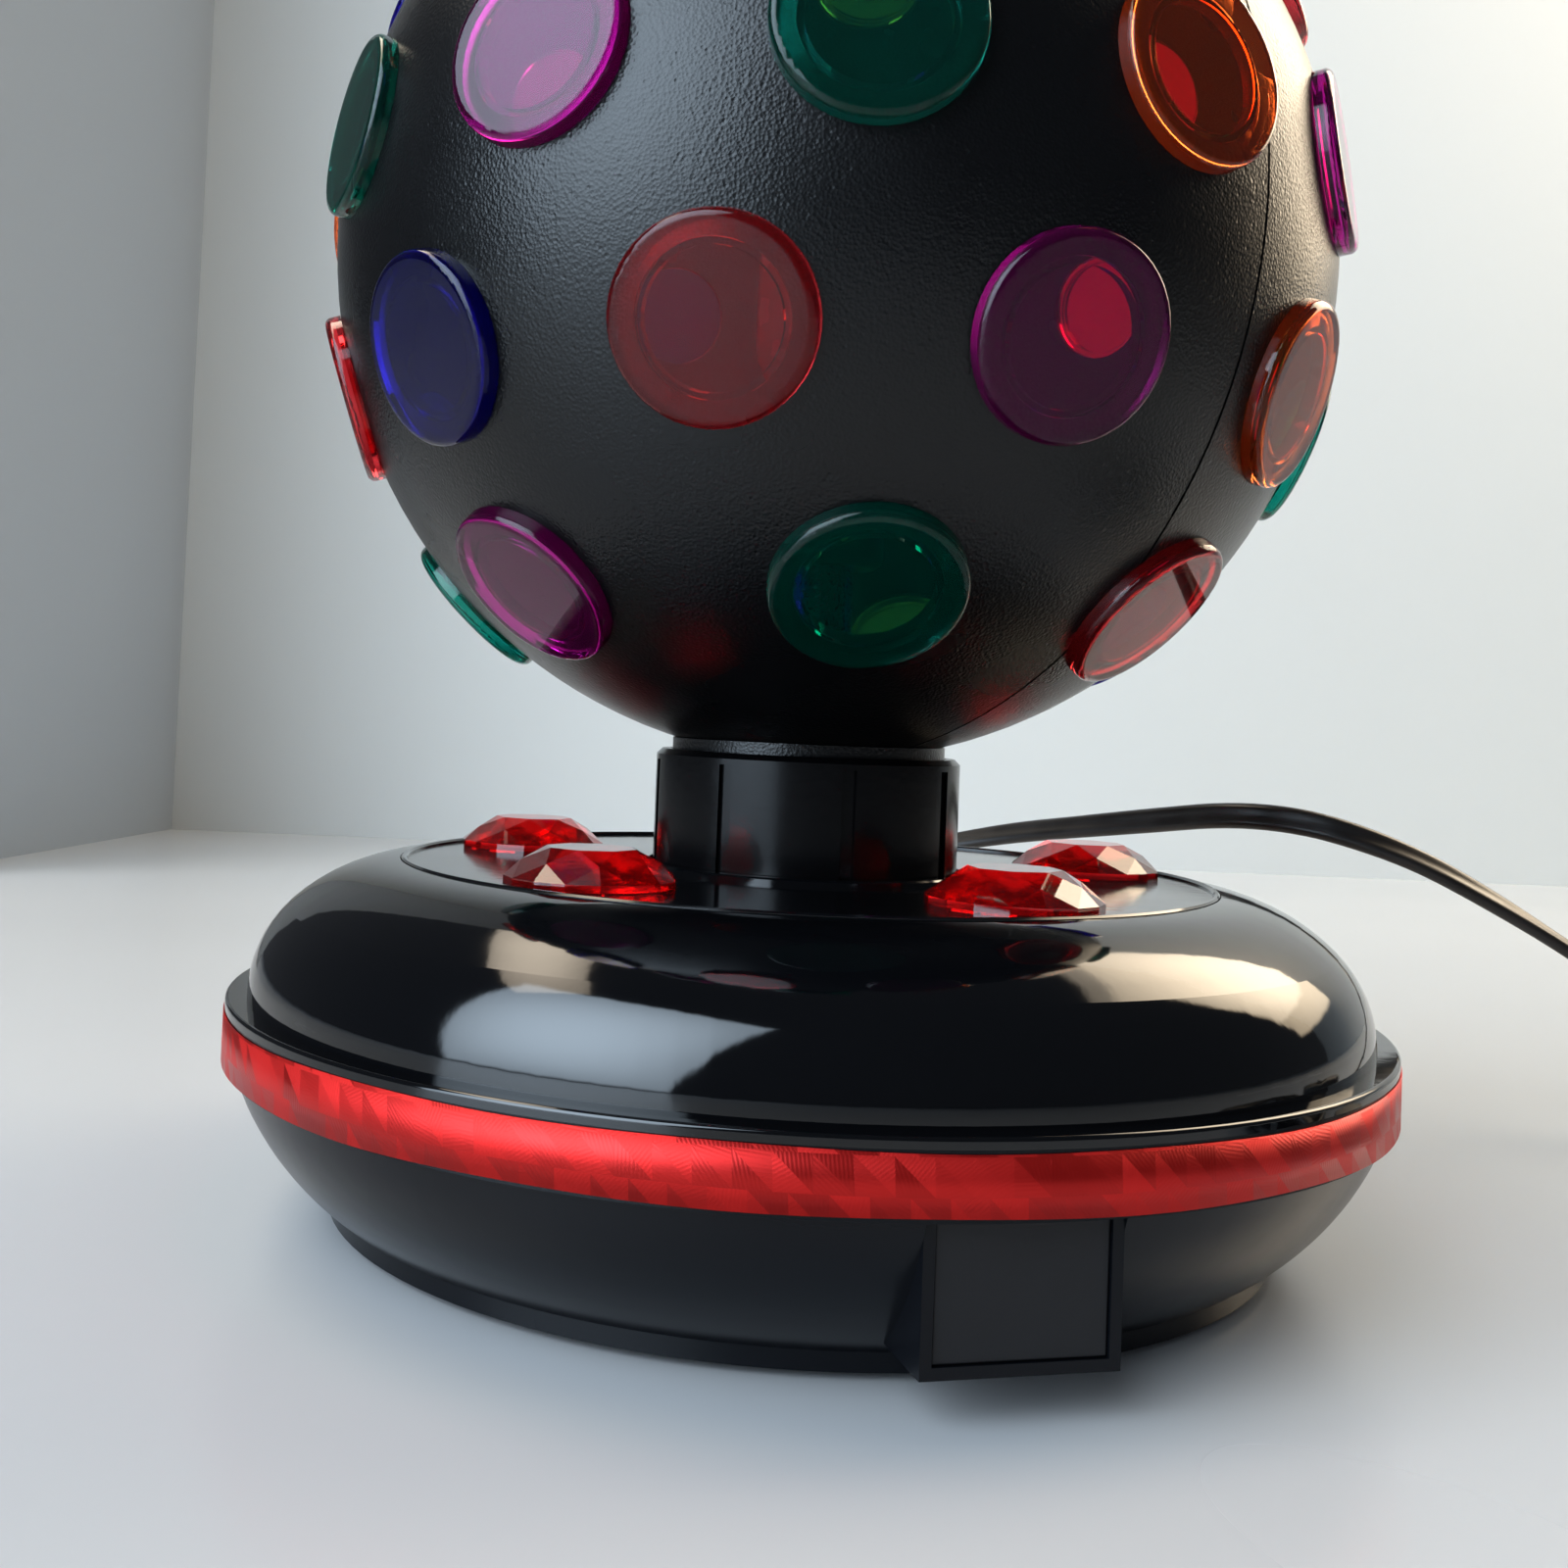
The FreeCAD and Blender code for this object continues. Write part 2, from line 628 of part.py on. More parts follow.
def base_levels():
    """Levels and radii of the base that more than one piece uses."""
    s.floor_top = s.floor_height + s.base_wall
    s.bowl_end_radius = s.band_radius - s.bowl_step
    s.dome_radius = s.band_radius - s.dome_step
    s.pod_face = s.band_radius - s.pod_step
    s.outlet_boss_face = s.band_radius - s.outlet_step
    s.bowl_start = s.foot_gap + s.foot_ring_height
    s.band_top = s.band_bottom + s.band_height
    s.bowl_end = s.band_bottom - 0.6
    s.flange_top = s.band_top + s.flange_thickness
    s.deck_level = s.dome_top - s.deck_drop
    s.deck_hole_radius = s.collar_radius + s.collar_turn_gap
    s.hub_hole_radius = s.deck_hole_radius + s.deck_overhang
    s.seat_level = s.deck_level - s.deck_thickness
    s.roof_level = s.seat_level - s.base_wall + 0.1
    s.chassis_top = s.chassis_level + s.chassis_thickness
    s.hub_bottom = s.chassis_top + s.washer_thickness + s.running_gap
    s.hub_top = s.seat_level - s.hub_sink
    s.journal_top = s.hub_top - s.journal_stop
    s.ring_gear_top = s.ring_gear_bottom + s.ring_gear_width
    s.ring_pitch = s.tooth_module * s.ring_teeth / 2
    s.pinion_pitch = s.tooth_module * s.pinion_teeth / 2
    s.ring_root = s.ring_pitch - s.tooth_module * s.tooth_dedendum
    s.motor_circle = s.ring_pitch + s.pinion_pitch
    s.collar_top = s.hub_top + s.collar_height
    s.ledge_level = s.collar_top - s.neck_depth
    s.collar_bore = s.collar_radius - s.collar_wall
    s.neck_radius = s.collar_bore - s.key_gap
    s.neck_bore = s.neck_radius - s.neck_wall
    s.groove_radius = s.neck_radius - s.neck_groove
    s.ball_inside = s.ball_radius - s.ball_wall
    rise = root(s.ball_radius * s.ball_radius - s.neck_radius * s.neck_radius)
    s.ball_height = s.collar_top + s.neck_show + rise
    s.holder_bottom = s.ball_height - s.holder_drop
    s.holder_top = s.holder_bottom + s.holder_height
    s.lamp_tube_top = s.holder_bottom + s.holder_socket_depth
    s.bulb_seat = s.lamp_tube_top + s.holder_floor


def bowl_profile():
    """Half profile of the lower shell: foot ring, bowl and the band's seat, over a flat floor."""
    dx = s.bowl_end_radius - s.bowl_start_radius
    dz = s.bowl_end - s.bowl_start
    half = root(dx * dx + dz * dz) / 2
    reach = root(s.bowl_arc * s.bowl_arc - half * half)
    middle_x = (s.bowl_start_radius + s.bowl_end_radius) / 2 - reach * dz / (half * 2)
    middle_z = (s.bowl_start + s.bowl_end) / 2 + reach * dx / (half * 2)
    inner_arc = s.bowl_arc - s.base_wall
    band_inside = s.band_radius - s.base_wall
    low_drop = middle_z - s.floor_top
    low_x = middle_x + root(inner_arc * inner_arc - low_drop * low_drop)
    high = s.band_bottom + 1.5
    high_x = middle_x + root(inner_arc * inner_arc - (middle_z - s.bowl_end) * (middle_z - s.bowl_end))
    ring_inside = s.foot_ring_radius - s.foot_ring_width
    return [
        (0, s.floor_height),
        (ring_inside, s.floor_height),
        (ring_inside, s.foot_gap),
        (s.foot_ring_radius, s.foot_gap),
        (s.foot_ring_radius, s.bowl_start),
        (s.bowl_start_radius, s.bowl_start, s.bowl_arc, 1),
        (s.bowl_end_radius, s.bowl_end),
        (s.band_radius, s.band_bottom),
        (s.band_radius, s.band_top),
        (band_inside, s.band_top),
        (band_inside, high),
        (high_x, s.bowl_end, inner_arc, -1),
        (low_x, s.floor_top),
        (0, s.floor_top),
    ]


def make_lower_shell():
    bowl = turned("bowl", bowl_profile())
    depth = s.pod_face - s.pod_root
    pod = box(
        "pod_outside", s.pod_width, depth, s.band_bottom - s.pod_bottom + 0.2,
        x=-s.pod_width / 2, y=-s.pod_face, z=s.pod_bottom,
    )
    boss = along_y(
        "outlet_boss", s.outlet_boss_radius, s.outlet_boss_face - s.outlet_boss_root,
        s.outlet_boss_root, s.outlet_height,
    )

    def post(name, x, y, azimuth):
        height = s.band_top - s.floor_height - 1
        return cylinder(name, s.post_radius, height, x=x, y=y, z=s.floor_height + 1)

    def chassis_post(name, x, y, azimuth):
        height = s.chassis_level - s.floor_height - 1
        return cylinder(name, s.post_radius, height, x=x, y=y, z=s.floor_height + 1)

    posts = ring_of("post", 4, s.post_circle, 45, post)
    chassis_posts = ring_of("chassis_post", 4, s.chassis_post_circle, 0, chassis_post)
    solid = fuse("lower_shell_solid", bowl, pod, boss, *posts, *chassis_posts)

    inside = s.pod_width - s.pod_wall * 2
    recess_depth = s.panel_recess + s.panel_thickness
    hollow = box(
        "pod_inside", inside, s.pod_face - s.pod_wall - recess_depth - 88,
        s.band_bottom - s.pod_bottom - s.pod_wall - 2,
        x=-inside / 2, y=-(s.pod_face - s.pod_wall - recess_depth), z=s.pod_bottom + s.pod_wall,
    )
    flat = box(
        "pod_flat", s.pod_width, 10, s.band_bottom - s.pod_bottom,
        x=-s.pod_width / 2, y=-(s.pod_face + 10), z=s.pod_bottom,
    )
    recess = box(
        "panel_recess_cut", s.pod_width - s.panel_border * 2, recess_depth + 1,
        s.band_bottom - s.pod_bottom - s.panel_border - s.panel_lip,
        x=-(s.pod_width / 2 - s.panel_border), y=-(s.pod_face + 1), z=s.pod_bottom + s.panel_border,
    )
    outlet = along_y(
        "outlet_hole", s.outlet_bore, s.outlet_boss_face - s.outlet_boss_root + 2,
        s.outlet_boss_root - 1, s.outlet_height,
    )

    def screw_hole(name, x, y, azimuth):
        through = cylinder(name + "_bore", s.screw_radius, s.band_top, x=x, y=y, z=s.foot_gap)
        head = cylinder(name + "_head", s.screw_head_radius + 0.5, s.post_pocket_top, x=x, y=y)
        return group(name, (through, head))

    def chassis_hole(name, x, y, azimuth):
        return cylinder(name, s.screw_radius, 14, x=x, y=y, z=s.chassis_level - 12)

    def foot_seat(name, x, y, azimuth):
        return cylinder(name, s.rubber_foot_radius, s.floor_height + s.rubber_foot_sink, x=x, y=y)

    def vent(name, x, y, azimuth):
        slot = padded(
            name, "XY_Plane",
            [
                (-s.vent_width / 2, -(s.vent_inner + s.vent_length)),
                (s.vent_width / 2, -(s.vent_inner + s.vent_length)),
                (s.vent_width / 2, -s.vent_inner),
                (-s.vent_width / 2, -s.vent_inner),
            ],
            s.floor_top + 2,
        )
        return place(slot, azimuth=azimuth)

    tools = [hollow, flat, recess, outlet]
    tools += ring_of("post_hole", 4, s.post_circle, 45, screw_hole)
    tools += ring_of("chassis_hole", 4, s.chassis_post_circle, 0, chassis_hole)
    tools += ring_of("foot_seat", 4, s.rubber_foot_circle, 22.5, foot_seat)
    tools += ring_of("vent", s.vent_count, s.vent_inner, 22.5, vent)
    node("base_lower_shell", cut("lower_shell", solid, *tools))


def make_upper_shell():
    rise = s.dome_shoulder
    side_level = s.dome_top - rise
    side_x = s.dome_radius - s.dome_side_arc
    shift = side_x - s.dome_crown_radius
    side = s.dome_side_arc
    crown = (shift * shift + rise * rise - side * side) / ((rise - side) * 2)
    crown_z = s.dome_top - crown
    side_drop = side_level - crown_z
    reach = root(shift * shift + side_drop * side_drop)
    share = crown / reach
    join_x = s.dome_crown_radius + shift * share
    join_z = crown_z + side_drop * share
    edge_x = s.deck_radius + s.deck_gap
    edge_drop = edge_x - s.dome_crown_radius
    edge_z = crown_z + root(crown * crown - edge_drop * edge_drop)
    wall = s.base_wall
    inner_share = (crown - wall) / reach
    inner_join_x = s.dome_crown_radius + shift * inner_share
    inner_join_z = crown_z + side_drop * inner_share
    roof_drop = s.roof_level - crown_z
    inner_crown = crown - wall
    roof_x = s.dome_crown_radius + root(inner_crown * inner_crown - roof_drop * roof_drop)
    skirt_out = s.band_radius - s.base_wall - s.skirt_gap
    skirt_in = s.dome_radius - wall
    skirt_low = s.band_top - s.skirt_depth
    flange_out = s.band_radius + 0.1
    corners = [
        (skirt_in, skirt_low),
        (skirt_out, skirt_low),
        (skirt_out, s.band_top),
        (flange_out, s.band_top),
        (flange_out, s.flange_top - s.flange_round, s.flange_round, 1),
        (flange_out - s.flange_round, s.flange_top),
        (s.dome_radius, s.flange_top),
        (s.dome_radius, side_level, side, 1),
        (join_x, join_z, crown, 1),
        (edge_x, edge_z),
        (edge_x, s.seat_level),
        (s.hub_hole_radius, s.seat_level),
        (s.hub_hole_radius, s.roof_level),
        (roof_x, s.roof_level, inner_crown, -1),
        (inner_join_x, inner_join_z, side - wall, -1),
        (skirt_in, side_level),
    ]
    dome = turned("dome", corners)

    def boss(name, x, y, azimuth):
        height = s.roof_level - s.band_top + 0.5
        return cylinder(name, s.post_radius, height, x=x, y=y, z=s.band_top)

    def thread(name, x, y, azimuth):
        height = s.post_pocket_top + s.base_screw_length + 2 - s.band_top
        return cylinder(name, s.screw_radius, height + 1, x=x, y=y, z=s.band_top - 1)

    solid = fuse("dome_solid", dome, *ring_of("dome_boss", 4, s.post_circle, 45, boss))
    holes = ring_of("dome_thread", 4, s.post_circle, 45, thread)
    node("base_upper_shell", cut("upper_shell", solid, *holes))


def make_base_trim():
    outside = cylinder("foil_outside", s.band_radius + s.foil_thickness, s.band_height, z=s.band_bottom)
    inside = cylinder("foil_inside", s.band_radius, s.band_height + 2, z=s.band_bottom - 1)
    node("foil_band", cut("foil", outside, inside))

    half = s.pod_width / 2 - s.panel_border - s.panel_fit
    low = s.pod_bottom + s.panel_border + s.panel_fit
    high = s.band_bottom - s.panel_lip - s.panel_fit
    panel = padded(
        "blank_panel", "XZ_Plane", rectangle(-half, half, low, high), s.panel_thickness,
        offset=s.pod_face - s.panel_recess, reverse=True,
    )
    rounded(panel, "panel_edge", 0.3, lambda e: e.BoundBox.YMax < -number(s.pod_face - s.panel_recess) + 0.01)
    node("front_blank_panel", panel)

    rim = s.deck_radius - s.deck_rim_width
    rim_top = s.deck_level + s.deck_rim_height
    bevel = 0.35
    ring = s.deck_hole_radius + s.deck_ring_width
    ring_top = s.deck_level + s.deck_ring_height
    deck = turned("deck", [
        (s.deck_hole_radius, s.seat_level),
        (s.deck_radius, s.seat_level),
        (s.deck_radius, rim_top - bevel),
        (s.deck_radius - bevel, rim_top),
        (rim + bevel, rim_top),
        (rim, rim_top - bevel),
        (rim, s.deck_level),
        (ring, s.deck_level),
        (ring, ring_top - bevel),
        (ring - bevel, ring_top),
        (s.deck_hole_radius, ring_top),
    ])
    node("deck_plate", deck)

    def rubber_foot(name, x, y, azimuth):
        return cylinder(name, s.rubber_foot_radius, s.floor_height + s.rubber_foot_sink, x=x, y=y)

    node("rubber_feet", group("rubber_feet", ring_of("foot", 4, s.rubber_foot_circle, 22.5, rubber_foot)))

    def base_screw(name, x, y, azimuth):
        return screw(name, s.post_pocket_top, s.base_screw_length, x, y, head_up=False)

    node("base_screws", group("base_screws", ring_of("base_screw", 4, s.post_circle, 45, base_screw)))


def gem_solid():
    """A flat-backed gem with a brilliant-cut crown: eight kites round an eight-sided table."""
    sides = 8
    step = 2 * math.pi / sides
    height, edge = number(s.gem_height), number(s.gem_girdle)
    outer, table, middle = number(s.gem_radius), number(s.gem_table_radius), number(s.gem_break_radius)
    inward = middle * math.cos(step / 2)
    fall = height + (edge - height) * (inward - table) / (outer - table)

    def at(radius, index, z):
        return Vector(radius * math.cos(index * step), radius * math.sin(index * step), z)

    faces = []

    def face(*points):
        faces.append(Part.Face(Part.makePolygon([*points, points[0]])))

    for i in range(sides):
        top, after = at(table, i, height), at(table, i + 1, height)
        left, right = at(middle, i - 0.5, fall), at(middle, i + 0.5, fall)
        low, between, following = at(outer, i, edge), at(outer, i + 0.5, edge), at(outer, i + 1, edge)
        face(top, left, low, right)
        face(top, right, after)
        face(right, low, between)
        face(right, between, following)
        for a, b in ((i, i + 0.5), (i + 0.5, i + 1)):
            face(at(outer, a, 0), at(outer, b, 0), at(outer, b, edge), at(outer, a, edge))
    face(*[at(table, i, height) for i in range(sides)])
    face(*[at(outer, i / 2, 0) for i in range(2 * sides)])
    return Part.Solid(Part.Shell(Part.Compound(faces).Faces))


def make_gems():
    solid = gem_solid()
    if solid.Volume < 0:
        solid.reverse()
    master = feature("gem", solid)
    gems = []
    for index in range(int(number(s.gem_count))):
        azimuth = s.gem_phase + index * (360 / s.gem_count)
        where = Placement(
            Vector(number(s.gem_circle * sine(azimuth)), -number(s.gem_circle * cosine(azimuth)),
                   number(s.deck_level)),
            Rotation(Vector(0, 0, 1), number(azimuth) + 7 * index),
        )
        gems.append(master.Shape.transformed(where.toMatrix()))
    node("deck_gems", feature("deck_gems", Part.makeCompound(gems)))


def gear_outline(teeth, phase):
    """A spur gear's closed outline with involute flanks, one tooth centred on the phase angle."""
    module = number(s.tooth_module)
    pitch = module * teeth / 2
    pressure = math.radians(number(s.pressure_angle))
    base = pitch * math.cos(pressure)
    tip = pitch + module * number(s.tooth_addendum)
    bottom = pitch - module * number(s.tooth_dedendum)
    half_pitch_angle = (math.pi * module / 2 - number(s.tooth_backlash)) / 2 / pitch
    involute = math.tan(pressure) - pressure
    steps = 4
    radii = [max(base, bottom) + (tip - max(base, bottom)) * k / (steps - 1) for k in range(steps)]
    flank = []
    for radius in radii:
        angle = math.acos(min(1, base / radius))
        flank.append((radius, half_pitch_angle + involute - (math.tan(angle) - angle)))
    points = []
    for index in range(teeth):
        middle = phase + 2 * math.pi * index / teeth
        if bottom < base:
            points.append((bottom, middle - flank[0][1]))
        points += [(radius, middle - angle) for radius, angle in flank]
        points += [(radius, middle + angle) for radius, angle in reversed(flank)]
        if bottom < base:
            points.append((bottom, middle + flank[0][1]))
    return [Vector(radius * math.cos(a), radius * math.sin(a), 0) for radius, a in points]


def gear_solid(teeth, phase, bore, width):
    outline = gear_outline(teeth, phase)
    wire = Part.makePolygon([*outline, outline[0]])
    hole = Part.Wire([Part.makeCircle(bore)])
    face = Part.Face([wire, hole])
    face.validate()
    return face.extrude(Vector(0, 0, width))


def make_drive():
    plate = turned("chassis_disc", [
        (s.lamp_tube_radius, s.chassis_level),
        (s.chassis_radius, s.chassis_level),
        (s.chassis_radius, s.chassis_top),
        (s.journal_radius, s.chassis_top),
        (s.journal_radius, s.journal_top),
        (s.journal_bore, s.journal_top),
        (s.journal_bore, s.chassis_top),
        (s.lamp_tube_radius, s.chassis_top),
    ])

    def hole(name, x, y, azimuth):
        return cylinder(name, s.screw_radius, 6, x=x, y=y, z=s.chassis_level - 1)

    def window(name, x, y):
        return cylinder(name, 9, 6, x=x, y=y, z=s.chassis_level - 1)

    motor_spot = spot(s.motor_circle, s.motor_azimuth)
    shaft_hole = cylinder("shaft_hole", s.motor_shaft_radius + 2.5, 6, z=s.chassis_level - 1, **motor_spot)
    ears = []
    for side in (-1, 1):
        reach = s.motor_ear_span / 2 * side
        ears.append({
            "x": motor_spot["x"] + reach * cosine(s.motor_azimuth),
            "y": motor_spot["y"] + reach * sine(s.motor_azimuth),
        })
    tools = ring_of("chassis_screw_hole", 4, s.chassis_post_circle, 0, hole)
    for index, azimuth in enumerate((-135, -45, 45), start=1):
        tools.append(window(f"chassis_window_{index}", **spot(s.chassis_post_circle * 0.8, azimuth)))
    tools.append(shaft_hole)
    for index, ear in enumerate(ears):
        tools.append(hole(f"motor_screw_hole_{index + 1}", azimuth=0, **ear))
    node("drive_chassis", cut("chassis", plate, *tools))

    def chassis_screw(name, x, y, azimuth):
        return screw(name, s.chassis_top, 10, x, y)

    made = ring_of("chassis_screw", 4, s.chassis_post_circle, 0, chassis_screw)
    node("chassis_screws", group("chassis_screws", made))

    can = cylinder("can", s.motor_radius, s.motor_height - s.motor_ear_thickness,
                   z=s.chassis_level - s.motor_height, **motor_spot)
    ear_top = s.chassis_level
    half_span = s.motor_ear_span / 2
    half_width = s.motor_ear_half_width
    ear_plate = padded("ear_plate", "XY_Plane", [
        (-half_span, -half_width),
        (half_span, -half_width, s.motor_ear_round, 1),
        (half_span, half_width),
        (-half_span, half_width, s.motor_ear_round, 1),
    ], s.motor_ear_thickness)
    place(ear_plate, z=ear_top - s.motor_ear_thickness, azimuth=s.motor_azimuth, **motor_spot)
    bearing = cylinder("motor_bearing", s.motor_shaft_radius + s.running_gap, 6,
                       z=s.chassis_level - 5, **motor_spot)
    motor = cut("motor_shell", can, bearing)
    node("motor_can", motor)
    ear_holes = [cylinder(f"ear_hole_{i}", s.screw_radius, 6, z=s.chassis_level - 4, **ear)
                 for i, ear in enumerate(ears)]
    bearing_top = cylinder("ear_plate_bearing", s.motor_shaft_radius + s.running_gap, 6,
                           z=s.chassis_level - 4, **motor_spot)
    node("motor_mount_plate", cut("motor_mount_plate", ear_plate, bearing_top, *ear_holes))
    motor_screws = [
        screw(f"motor_screw_{i}", s.chassis_level - s.motor_ear_thickness, 6, head_up=False, **ear)
        for i, ear in enumerate(ears)
    ]
    node("motor_screws", group("motor_screws", motor_screws))

    washer = turned("washer", [
        (s.journal_radius + 0.4, s.chassis_top),
        (s.journal_radius + 6, s.chassis_top),
        (s.journal_radius + 6, s.chassis_top + s.washer_thickness),
        (s.journal_radius + 0.4, s.chassis_top + s.washer_thickness),
    ])
    node("thrust_washer", washer)

    hub_bore = s.journal_radius + s.running_gap
    hub = turned("hub", [
        (hub_bore, s.hub_bottom),
        (s.hub_sleeve_radius, s.hub_bottom),
        (s.hub_sleeve_radius, s.ring_gear_top),
        (s.hub_shoulder_radius, s.ring_gear_top),
        (s.hub_shoulder_radius, s.hub_top - s.hub_flange_thickness),
        (s.hub_flange_radius, s.hub_top - s.hub_flange_thickness),
        (s.hub_flange_radius, s.hub_top),
        (hub_bore, s.hub_top),
    ])

    def screw_boss(name, x, y, azimuth):
        return cylinder(name, 3.6, 11, x=x, y=y, z=s.hub_top - 11)

    def screw_bore(name, x, y, azimuth):
        return cylinder(name, s.screw_radius, 11, x=x, y=y, z=s.hub_top - 10)

    bosses = ring_of("hub_boss", 3, s.collar_screw_circle, 0, screw_boss)
    bores = ring_of("hub_bore", 3, s.collar_screw_circle, 0, screw_bore)
    node("turntable_hub", cut("turntable", fuse("hub_solid", hub, *bosses), *bores))

    mesh_angle = math.radians(number(s.motor_azimuth) - 90)
    ring = feature("ring_gear_teeth", gear_solid(
        int(number(s.ring_teeth)), mesh_angle, number(s.hub_sleeve_radius), number(s.ring_gear_width)))
    place(ring, z=s.ring_gear_bottom)
    hole_radius = (s.ring_root - s.hub_sleeve_radius) / 2 - s.gear_web

    def gear_hole(name, x, y, azimuth):
        return cylinder(name, hole_radius, s.ring_gear_width + 2, x=x, y=y, z=s.ring_gear_bottom - 1)

    relief = ring_of("gear_hole", 6, (s.hub_sleeve_radius + s.ring_root) / 2, 0, gear_hole)
    node("ring_gear", cut("ring_gear", ring, *relief))

    half_tooth = math.pi / number(s.pinion_teeth)
    pinion = feature("pinion_teeth_solid", gear_solid(
        int(number(s.pinion_teeth)), mesh_angle + math.pi + half_tooth, number(s.motor_shaft_radius),
        number(s.ring_gear_width + s.pinion_overhang * 2)))
    place(pinion, z=s.ring_gear_bottom - s.pinion_overhang, **motor_spot)
    node("drive_pinion", pinion)
    shaft_bottom = s.chassis_level - 4.5
    shaft_top = s.ring_gear_top + s.pinion_overhang + 1
    shaft = cylinder("shaft", s.motor_shaft_radius, shaft_top - shaft_bottom, z=shaft_bottom, **motor_spot)
    node("motor_shaft", shaft)


def make_collar():
    """The neck collar: grooved outside, with a ledge and three drive keys for the ball inside."""
    ledge_bore = s.collar_bore - s.ledge_width
    slope = s.ledge_width
    body = turned("collar", [
        (s.collar_floor_bore, s.hub_top),
        (s.collar_radius, s.hub_top),
        (s.collar_radius, s.collar_top - s.collar_bevel),
        (s.collar_radius - s.collar_bevel, s.collar_top),
        (s.collar_bore, s.collar_top),
        (s.collar_bore, s.ledge_level),
        (ledge_bore, s.ledge_level),
        (ledge_bore, s.ledge_level - 2.4),
        (s.collar_bore, s.ledge_level - 2.4 - slope),
        (s.collar_bore, s.hub_top + s.collar_floor),
        (s.collar_floor_bore, s.hub_top + s.collar_floor),
    ])
    half = s.groove_width / 2
    depth = s.collar_top - s.groove_stop - s.hub_top
    inner = s.collar_radius - s.groove_depth
    groove = pocket(
        body, "groove", "XY_Plane",
        rectangle(-half, half, -(s.collar_radius + 1), -inner), depth, offset=s.hub_top, reverse=True,
    )
    repeated(body, groove, "grooves", s.groove_count)
    place(body, azimuth=s.groove_phase)

    def key(name, x, y, azimuth):
        start = box(
            name, s.key_width, s.ledge_width, s.key_height,
            x=-s.key_width / 2, y=-(s.collar_bore + 0.2), z=s.ledge_level,
        )
        turn = group(name + "_turned", (start,))
        return place(turn, azimuth=azimuth)

    def bore(name, x, y, azimuth):
        return cylinder(name, s.screw_radius, 8, x=x, y=y, z=s.hub_top - 2)

    keys = ring_of("key", s.key_count, s.collar_bore, s.key_phase, key)
    bores = ring_of("collar_bore", 3, s.collar_screw_circle, 0, bore)
    node("neck_collar", cut("neck_collar", fuse("collar_with_keys", body, *keys), *bores))

    def collar_screw(name, x, y, azimuth):
        return screw(name, s.hub_top + s.collar_floor, 11, x, y)

    made = ring_of("collar_screw", 3, s.collar_screw_circle, 0, collar_screw)
    node("collar_screws", group("collar_screws", made))


def lens_places(rows, centre):
    """(azimuth, latitude, colour) of each lens of one half, whose middle faces the azimuth centre."""
    places = []
    for row, (count, step, colours) in enumerate(rows):
        latitude = number(s.lens_row_first) + row * number(s.lens_row_step)
        for index, colour in enumerate(colours):
            places.append((centre + (index - (count - 1) / 2) * step, latitude, colour))
    return places


def outward(azimuth, latitude):
    """Turns +Z to point out of the ball at an azimuth and latitude, about the ball's middle."""
    turn = Rotation(Vector(0, 0, 1), azimuth) * Rotation(Vector(1, 0, 0), 90 - latitude)
    return Placement(Vector(0, 0, number(s.ball_height)), turn)


def height_over_seam(centre, azimuth, latitude):
    """How far a point of the ball lies from the seam's plane, on the side of the half that faces centre."""
    return number(s.ball_radius) * number(cosine(latitude)) * number(cosine(azimuth - number(centre)))


def ball_half(name, places, centre, has_tongue):
    """One half shell with its half of the neck hole and, on the front half, the lip. Each lens hole that
    reaches over the seam is cut into both halves."""
    reach = s.ball_radius + 10
    outside = sphere(name + "_sphere", s.ball_radius, z=s.ball_height)
    inside = sphere(name + "_inside", s.ball_inside, z=s.ball_height)
    # The spheres' pole lies in the lens hole nearest the middle of the half, clear of its wall and seam.
    azimuth, latitude, _ = max(places, key=lambda lens: height_over_seam(centre, *lens[:2]))
    for ball in (outside, inside):
        ball.Placement = outward(azimuth, latitude)
    neck_hole = cylinder(name + "_neck_hole", s.groove_radius + s.running_gap, s.ball_radius,
                         z=s.ledge_level)
    shell = cut(name + "_shell", outside, inside, neck_hole)
    slab = box(name + "_slab", reach * 2, reach, reach * 3, x=-reach, y=-reach, z=0)
    slab_turned = place(group(name + "_slab_turned", (slab,)), azimuth=centre)
    half = common(name + "_half", shell, slab_turned)
    if has_tongue:
        lip_length = s.tongue_length + 2
        lip_box = box(name + "_lip_box", reach * 2, lip_length, reach * 3, x=-reach, y=-2, z=0)
        lip_turned = place(group(name + "_lip_turned", (lip_box,)), azimuth=centre)
        lip_outside = sphere(name + "_lip_outside", s.ball_inside, z=s.ball_height)
        lip_inside = sphere(name + "_lip_inside", s.ball_inside - s.tongue_wall, z=s.ball_height)
        lip_bore = cylinder(name + "_lip_bore", s.neck_radius + 1, s.ball_radius, z=s.ledge_level)
        ring = cut(name + "_lip_ring", lip_outside, lip_inside, lip_bore)
        half = fuse(name + "_with_lip", half, common(name + "_lip", ring, lip_turned))
    tools = [seam_groove(name)]
    hole_radius = s.lens_plug_radius + s.lens_plug_gap
    for index, (azimuth, latitude, _) in enumerate(places):
        if height_over_seam(centre, azimuth, latitude) < -number(hole_radius):
            continue
        hole = doc.addObject("Part::Cylinder", f"{name}_hole_{index + 1}")
        bind(hole, Radius=hole_radius, Height=s.ball_wall + 12)
        start = number(s.ball_inside) - 8
        hole.Placement = outward(azimuth, latitude) * Placement(Vector(0, 0, start), Rotation())
        tools.append(hole)
    return cut(name, half, *tools)


